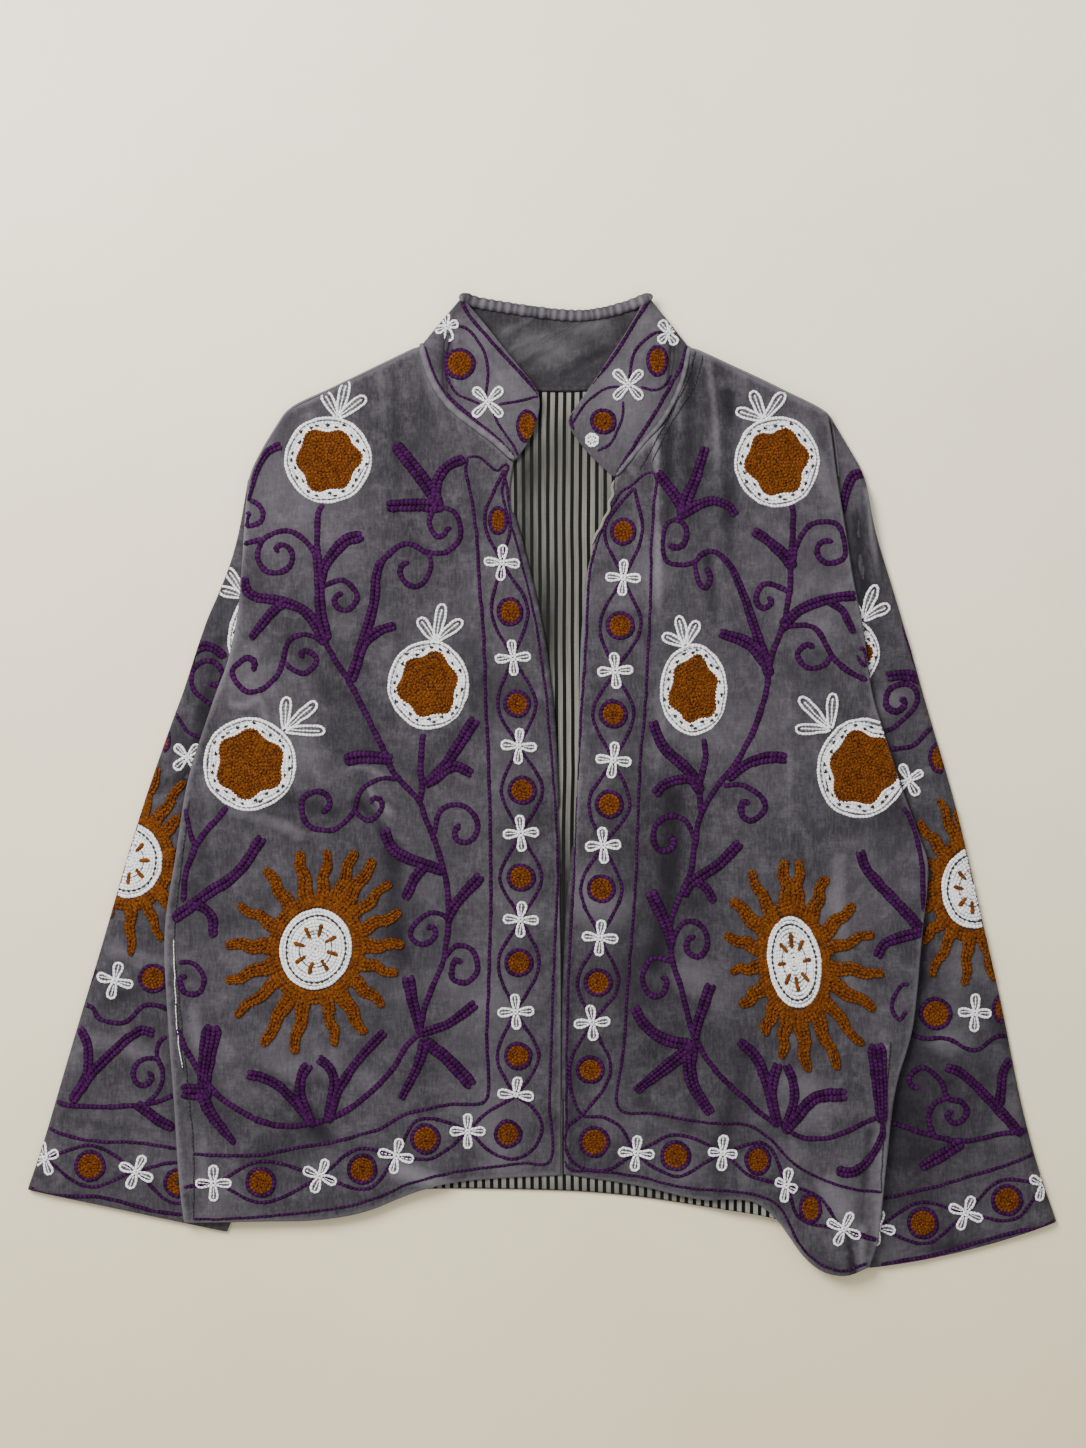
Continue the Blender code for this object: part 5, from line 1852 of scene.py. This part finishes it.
LEFT_SLEEVE_PATCHES = (
    Patch(872, 575, 18, 60, -0.4), Patch(858, 455, 24, 34, 0.22), Patch(900, 1080, 30, 130, -0.55),
    Patch(940, 1090, 90, 130, -0.44), Patch(900, 700, 20, 100, -0.25), Patch(910, 960, 14, 70, -0.3),
    Patch(900, 560, 14, 60, 0.1),
)
COLLAR_CREASES = (
    Crease((470, 345), (508, 392), 0.5, 5, 3), Crease((492, 420), (522, 408), -0.5, 5, 2),
    Crease((640, 372), (604, 412), 0.5, 6, -3), Crease((650, 330), (640, 352), -0.5, 5),
    Crease((449, 332), (446, 392), -1.4, 3.4, -2), Crease((457, 336), (456, 385), 0.8, 3.6, -1),
    Crease((500, 380), (530, 372), 0.5, 5), Crease((672, 338), (668, 385), -1.3, 3.4, 1),
)
COLLAR_PATCHES = (
    Patch(500, 400, 46, 50, 0.4), Patch(620, 400, 50, 60, 0.42), Patch(446, 362, 8, 30, -0.7),
    Patch(480, 335, 20, 20, 0.3), Patch(645, 330, 20, 30, 0.3), Patch(674, 345, 6, 26, -0.6),
)
FACING_CREASES = (
    Crease((512, 350), (546, 338), 0.9, 4.5, 2), Crease((545, 371), (580, 350), 0.9, 5, -2),
    Crease((566, 374), (614, 350), -0.8, 6, 2), Crease((524, 366), (552, 352), -0.9, 5, 2),
    Crease((566, 358), (600, 340), -0.9, 4.5, 2), Crease((505, 332), (534, 318), 0.8, 4.4),
    Crease((560, 330), (606, 322), 0.8, 4.4, -2),
)
# Painted shadow: the neck opening, the gap between the fronts and the hem strip are darkened.
LINING_PATCHES = (
    Patch(560, 440, 70, 60, -0.5), Patch(562, 1000, 6, 100, -1.0), Patch(560, 590, 52, 130, -0.62),
    Patch(564, 930, 20, 160, -1.0), Patch(522, 545, 14, 75, -0.6), Patch(545, 640, 12, 70, -0.5),
    Patch(606, 505, 10, 50, -0.45), Patch(530, 470, 16, 30, -0.3), Patch(560, 1195, 300, 22, -0.6),
)
FACING_PATCHES = (
    Patch(600, 328, 20, 12, 0.3), Patch(545, 352, 30, 16, 0.55), Patch(592, 362, 16, 12, -0.35),
    Patch(545, 380, 40, 16, -0.5), Patch(490, 328, 14, 18, -0.5), Patch(622, 328, 14, 18, -0.4),
)
SLEEVES = {
    "sleeve_right": (RIGHT_SLEEVE_CREASES, RIGHT_SLEEVE_PATCHES),
    "sleeve_left": (LEFT_SLEEVE_CREASES, LEFT_SLEEVE_PATCHES),
}
FRONTS = {
    "front_right": (RIGHT_FRONT_CREASES, RIGHT_FRONT_PATCHES),
    "front_left": (LEFT_FRONT_CREASES, LEFT_FRONT_PATCHES),
}
# Each velvet roll is painted pale on top and dark in its gathers; the front edges and the back neck seam are
# painted darker, the back one as the shadow at the facing's edge.
ROLLS = (
    Roll("collar_roll", ((459.5, 300.5), (465, 299.3), (473, 302.2), (574, 316.2), (604, 313.2), (641, 302.2),
        (648.5, 299), (652, 300.5)), 9.8, 4.6, 0.3, 5.2),
    Roll("neck_seam_right", ((421.5, 344), (424.4, 359), (435, 386), (453, 409.4), (497, 443.4),
        (514.5, 460)), 5.7, 1.8, 0.1, 9.0),
    Roll("neck_seam_left", ((689, 347), (684, 373), (677, 394), (660, 424), (645, 441), (616, 476)), 3.8, 1.8,
        0.12, 9.0),
    Roll("shoulder_seam_right", ((248, 496), (251.5, 480), (256, 467), (278, 428), (291, 411), (333, 390),
        (419, 348)), 3.2, 3.0, foot=0.4),
    Roll("neck_seam_back", ((440, 362), (483, 381), (520, 388), (628, 384), (672, 363)), 4.2, 1.6, 0.1, 7.0,
        Slot.FACING, level=2.5, paleness=-1.6),
    Roll("shoulder_seam_left", ((691, 349), (782, 392), (829, 419), (833.5, 437), (836.5, 462), (838.5, 482)),
        3.2, 3.0, foot=0.4),
    Roll("front_edge_right", ((511, 512), (519, 540), (533.8, 599), (540.3, 630), (545.4, 662), (551.3, 714),
        (554.3, 760), (556.5, 810)), 5.6, 2.4, 0.08, 13.0, foot=3.1, paleness=-1.5),
    Roll("front_edge_left", ((574.3, 845), (572.6, 868), (570.6, 890), (568.6, 915), (566.6, 960),
        (565.2, 1000), (564.7, 1050), (564.5, 1100)), 4.8, 2.4, 0.08, 13.0, foot=3.1, paleness=-1.5),
    Roll("frayed_edge", ((614, 481), (612, 488), (613, 495), (609, 503), (609, 511), (604, 519), (601, 527),
        (596, 535), (592, 545)), 2.6, 2.4, 0.35, 5.0, None),
)
# The dark lines along the seams and the pocket slit are painted shadow; the pale one is the lining's edge.
SEAMS = {
    "front_right": (
        Outline(((191, 800), (176, 940), (179, 980), (195, 1150), (195, 1215)), 1.4, Thread.HOLE),
        Outline(((175, 938), (180, 1040), (184, 1066)), 1.1, Thread.FRAYED, CORD),
        Outline(((178, 1000), (181, 1035), (185, 1068)), 1.8, Thread.HOLE, CORD),
    ),
    "front_left": (
        Outline(((695, 352), (687, 381), (640, 470)), 1.3, Thread.HOLE),
        Outline(((702, 356), (695, 385), (671, 424), (652, 462)), 1.0, Thread.HOLE),
        Outline(((889, 1040), (882, 1130), (879, 1190)), 1.3, Thread.HOLE),
    ),
}
NEEDLEWORK = {
    "sleeve_right": RIGHT_SLEEVE_WORK,
    "sleeve_left": LEFT_SLEEVE_WORK,
    "front_right": (*RIGHT_FRONT_STEMS, *RIGHT_FRONT_BORDERS, RIGHT_FRONT_BAND, *RIGHT_FRONT_FRUITS,
        RIGHT_FRONT_SUN),
    "front_left": (*LEFT_FRONT_STEMS, *LEFT_FRONT_BORDERS, LEFT_FRONT_BAND, *LEFT_FRONT_FRUITS,
        LEFT_FRONT_SUN),
    "collar_outer": COLLAR_WORK,
}

GREY_VELVET = Velvet("velvet", (0.0445, 0.0408, 0.0484, 1.0), (0.0225, 0.0203, 0.025, 1.0),
    (0.165, 0.155, 0.175, 1.0))
FACING_VELVET = Velvet("facing", (0.036, 0.034, 0.0385, 1.0), (0.020, 0.0186, 0.0215, 1.0),
    (0.125, 0.119, 0.131, 1.0))


@dataclass
class Jacket:
    """The whole jacket: its cuts of cloth, and the needlework on them."""

    velvet: Material = field(init=False)
    facing: Material = field(init=False)
    lining: Material = field(init=False)
    sleeve_ripples = (Ripple(60, 1.2, 3.1), Ripple(21, 0.5, 8.4))
    front_ripples = (Ripple(60, 1.3, 3.1), Ripple(24, 0.55, 7.7))
    lining_ripples = (Ripple(45, 0.5, 2.2),)
    facing_ripples = (Ripple(13, 0.4, 2.5), Ripple(26, 0.7, 6.1))

    def build(self) -> None:
        """Builds every piece in the order in which they lie."""
        self.velvet = GREY_VELVET.make()
        self.facing = FACING_VELVET.make()
        self.lining = StripedCotton().make()
        self.build_sleeves()
        self.build_body()
        self.build_collar()
        self.embroider()

    def build_sleeves(self) -> None:
        """Builds both sleeves, all round the tube."""
        for node, (creases, patches) in SLEEVES.items():
            sleeve = FoldedShell(node, Slot.VELVET, creases, self.sleeve_ripples, patches)
            sleeve.build(self.velvet)

    def build_body(self) -> None:
        """Builds the back, its lining and both fronts."""
        back = LaidSheet("back_panel", Slot.VELVET, wall=1.6 * MM, step=9.0 * MM, trim=1.8 * MM)
        back.build(self.velvet)
        lining = LaidSheet("back_lining", Slot.LINING, (), self.lining_ripples, LINING_PATCHES,
                           wall=0.9 * MM, step=7.0 * MM)
        piece = lining.build(self.lining)
        for node, (creases, patches) in FRONTS.items():
            front = LaidSheet(node, Slot.VELVET, creases, self.front_ripples, patches)
            piece = front.build(self.velvet)

    def build_collar(self) -> None:
        """Builds the two bands of the collar."""
        outer = FoldedShell("collar_outer", Slot.VELVET, COLLAR_CREASES, (), COLLAR_PATCHES, levels=3)
        outer.build(self.velvet)
        inner = FoldedShell("collar_facing", Slot.FACING, FACING_CREASES, self.facing_ripples,
                            FACING_PATCHES, levels=3)
        inner.build(self.facing)

    def embroider(self) -> None:
        """Lays the rolls along the seams and sews the needlework on the panels that carry it."""
        needle = Needle([piece for piece in bpy.data.objects if piece.name.endswith("_cloth")])
        finishes = {Slot.VELVET: self.velvet, Slot.FACING: self.facing, None: Thread.FRAYED.make()}
        for roll in ROLLS:
            roll.build(needle, finishes[roll.slot])
        for panel, motifs in [*NEEDLEWORK.items(), *SEAMS.items()]:
            needle.panel = panel
            for motif in motifs:
                motif.sew(needle)
        needle.finish()


def main() -> None:
    """Builds the studio and the jacket."""
    logging.basicConfig(level=logging.INFO, format="%(name)s %(message)s")
    Studio().build()
    Jacket().build()


if __name__ == "__main__":
    main()
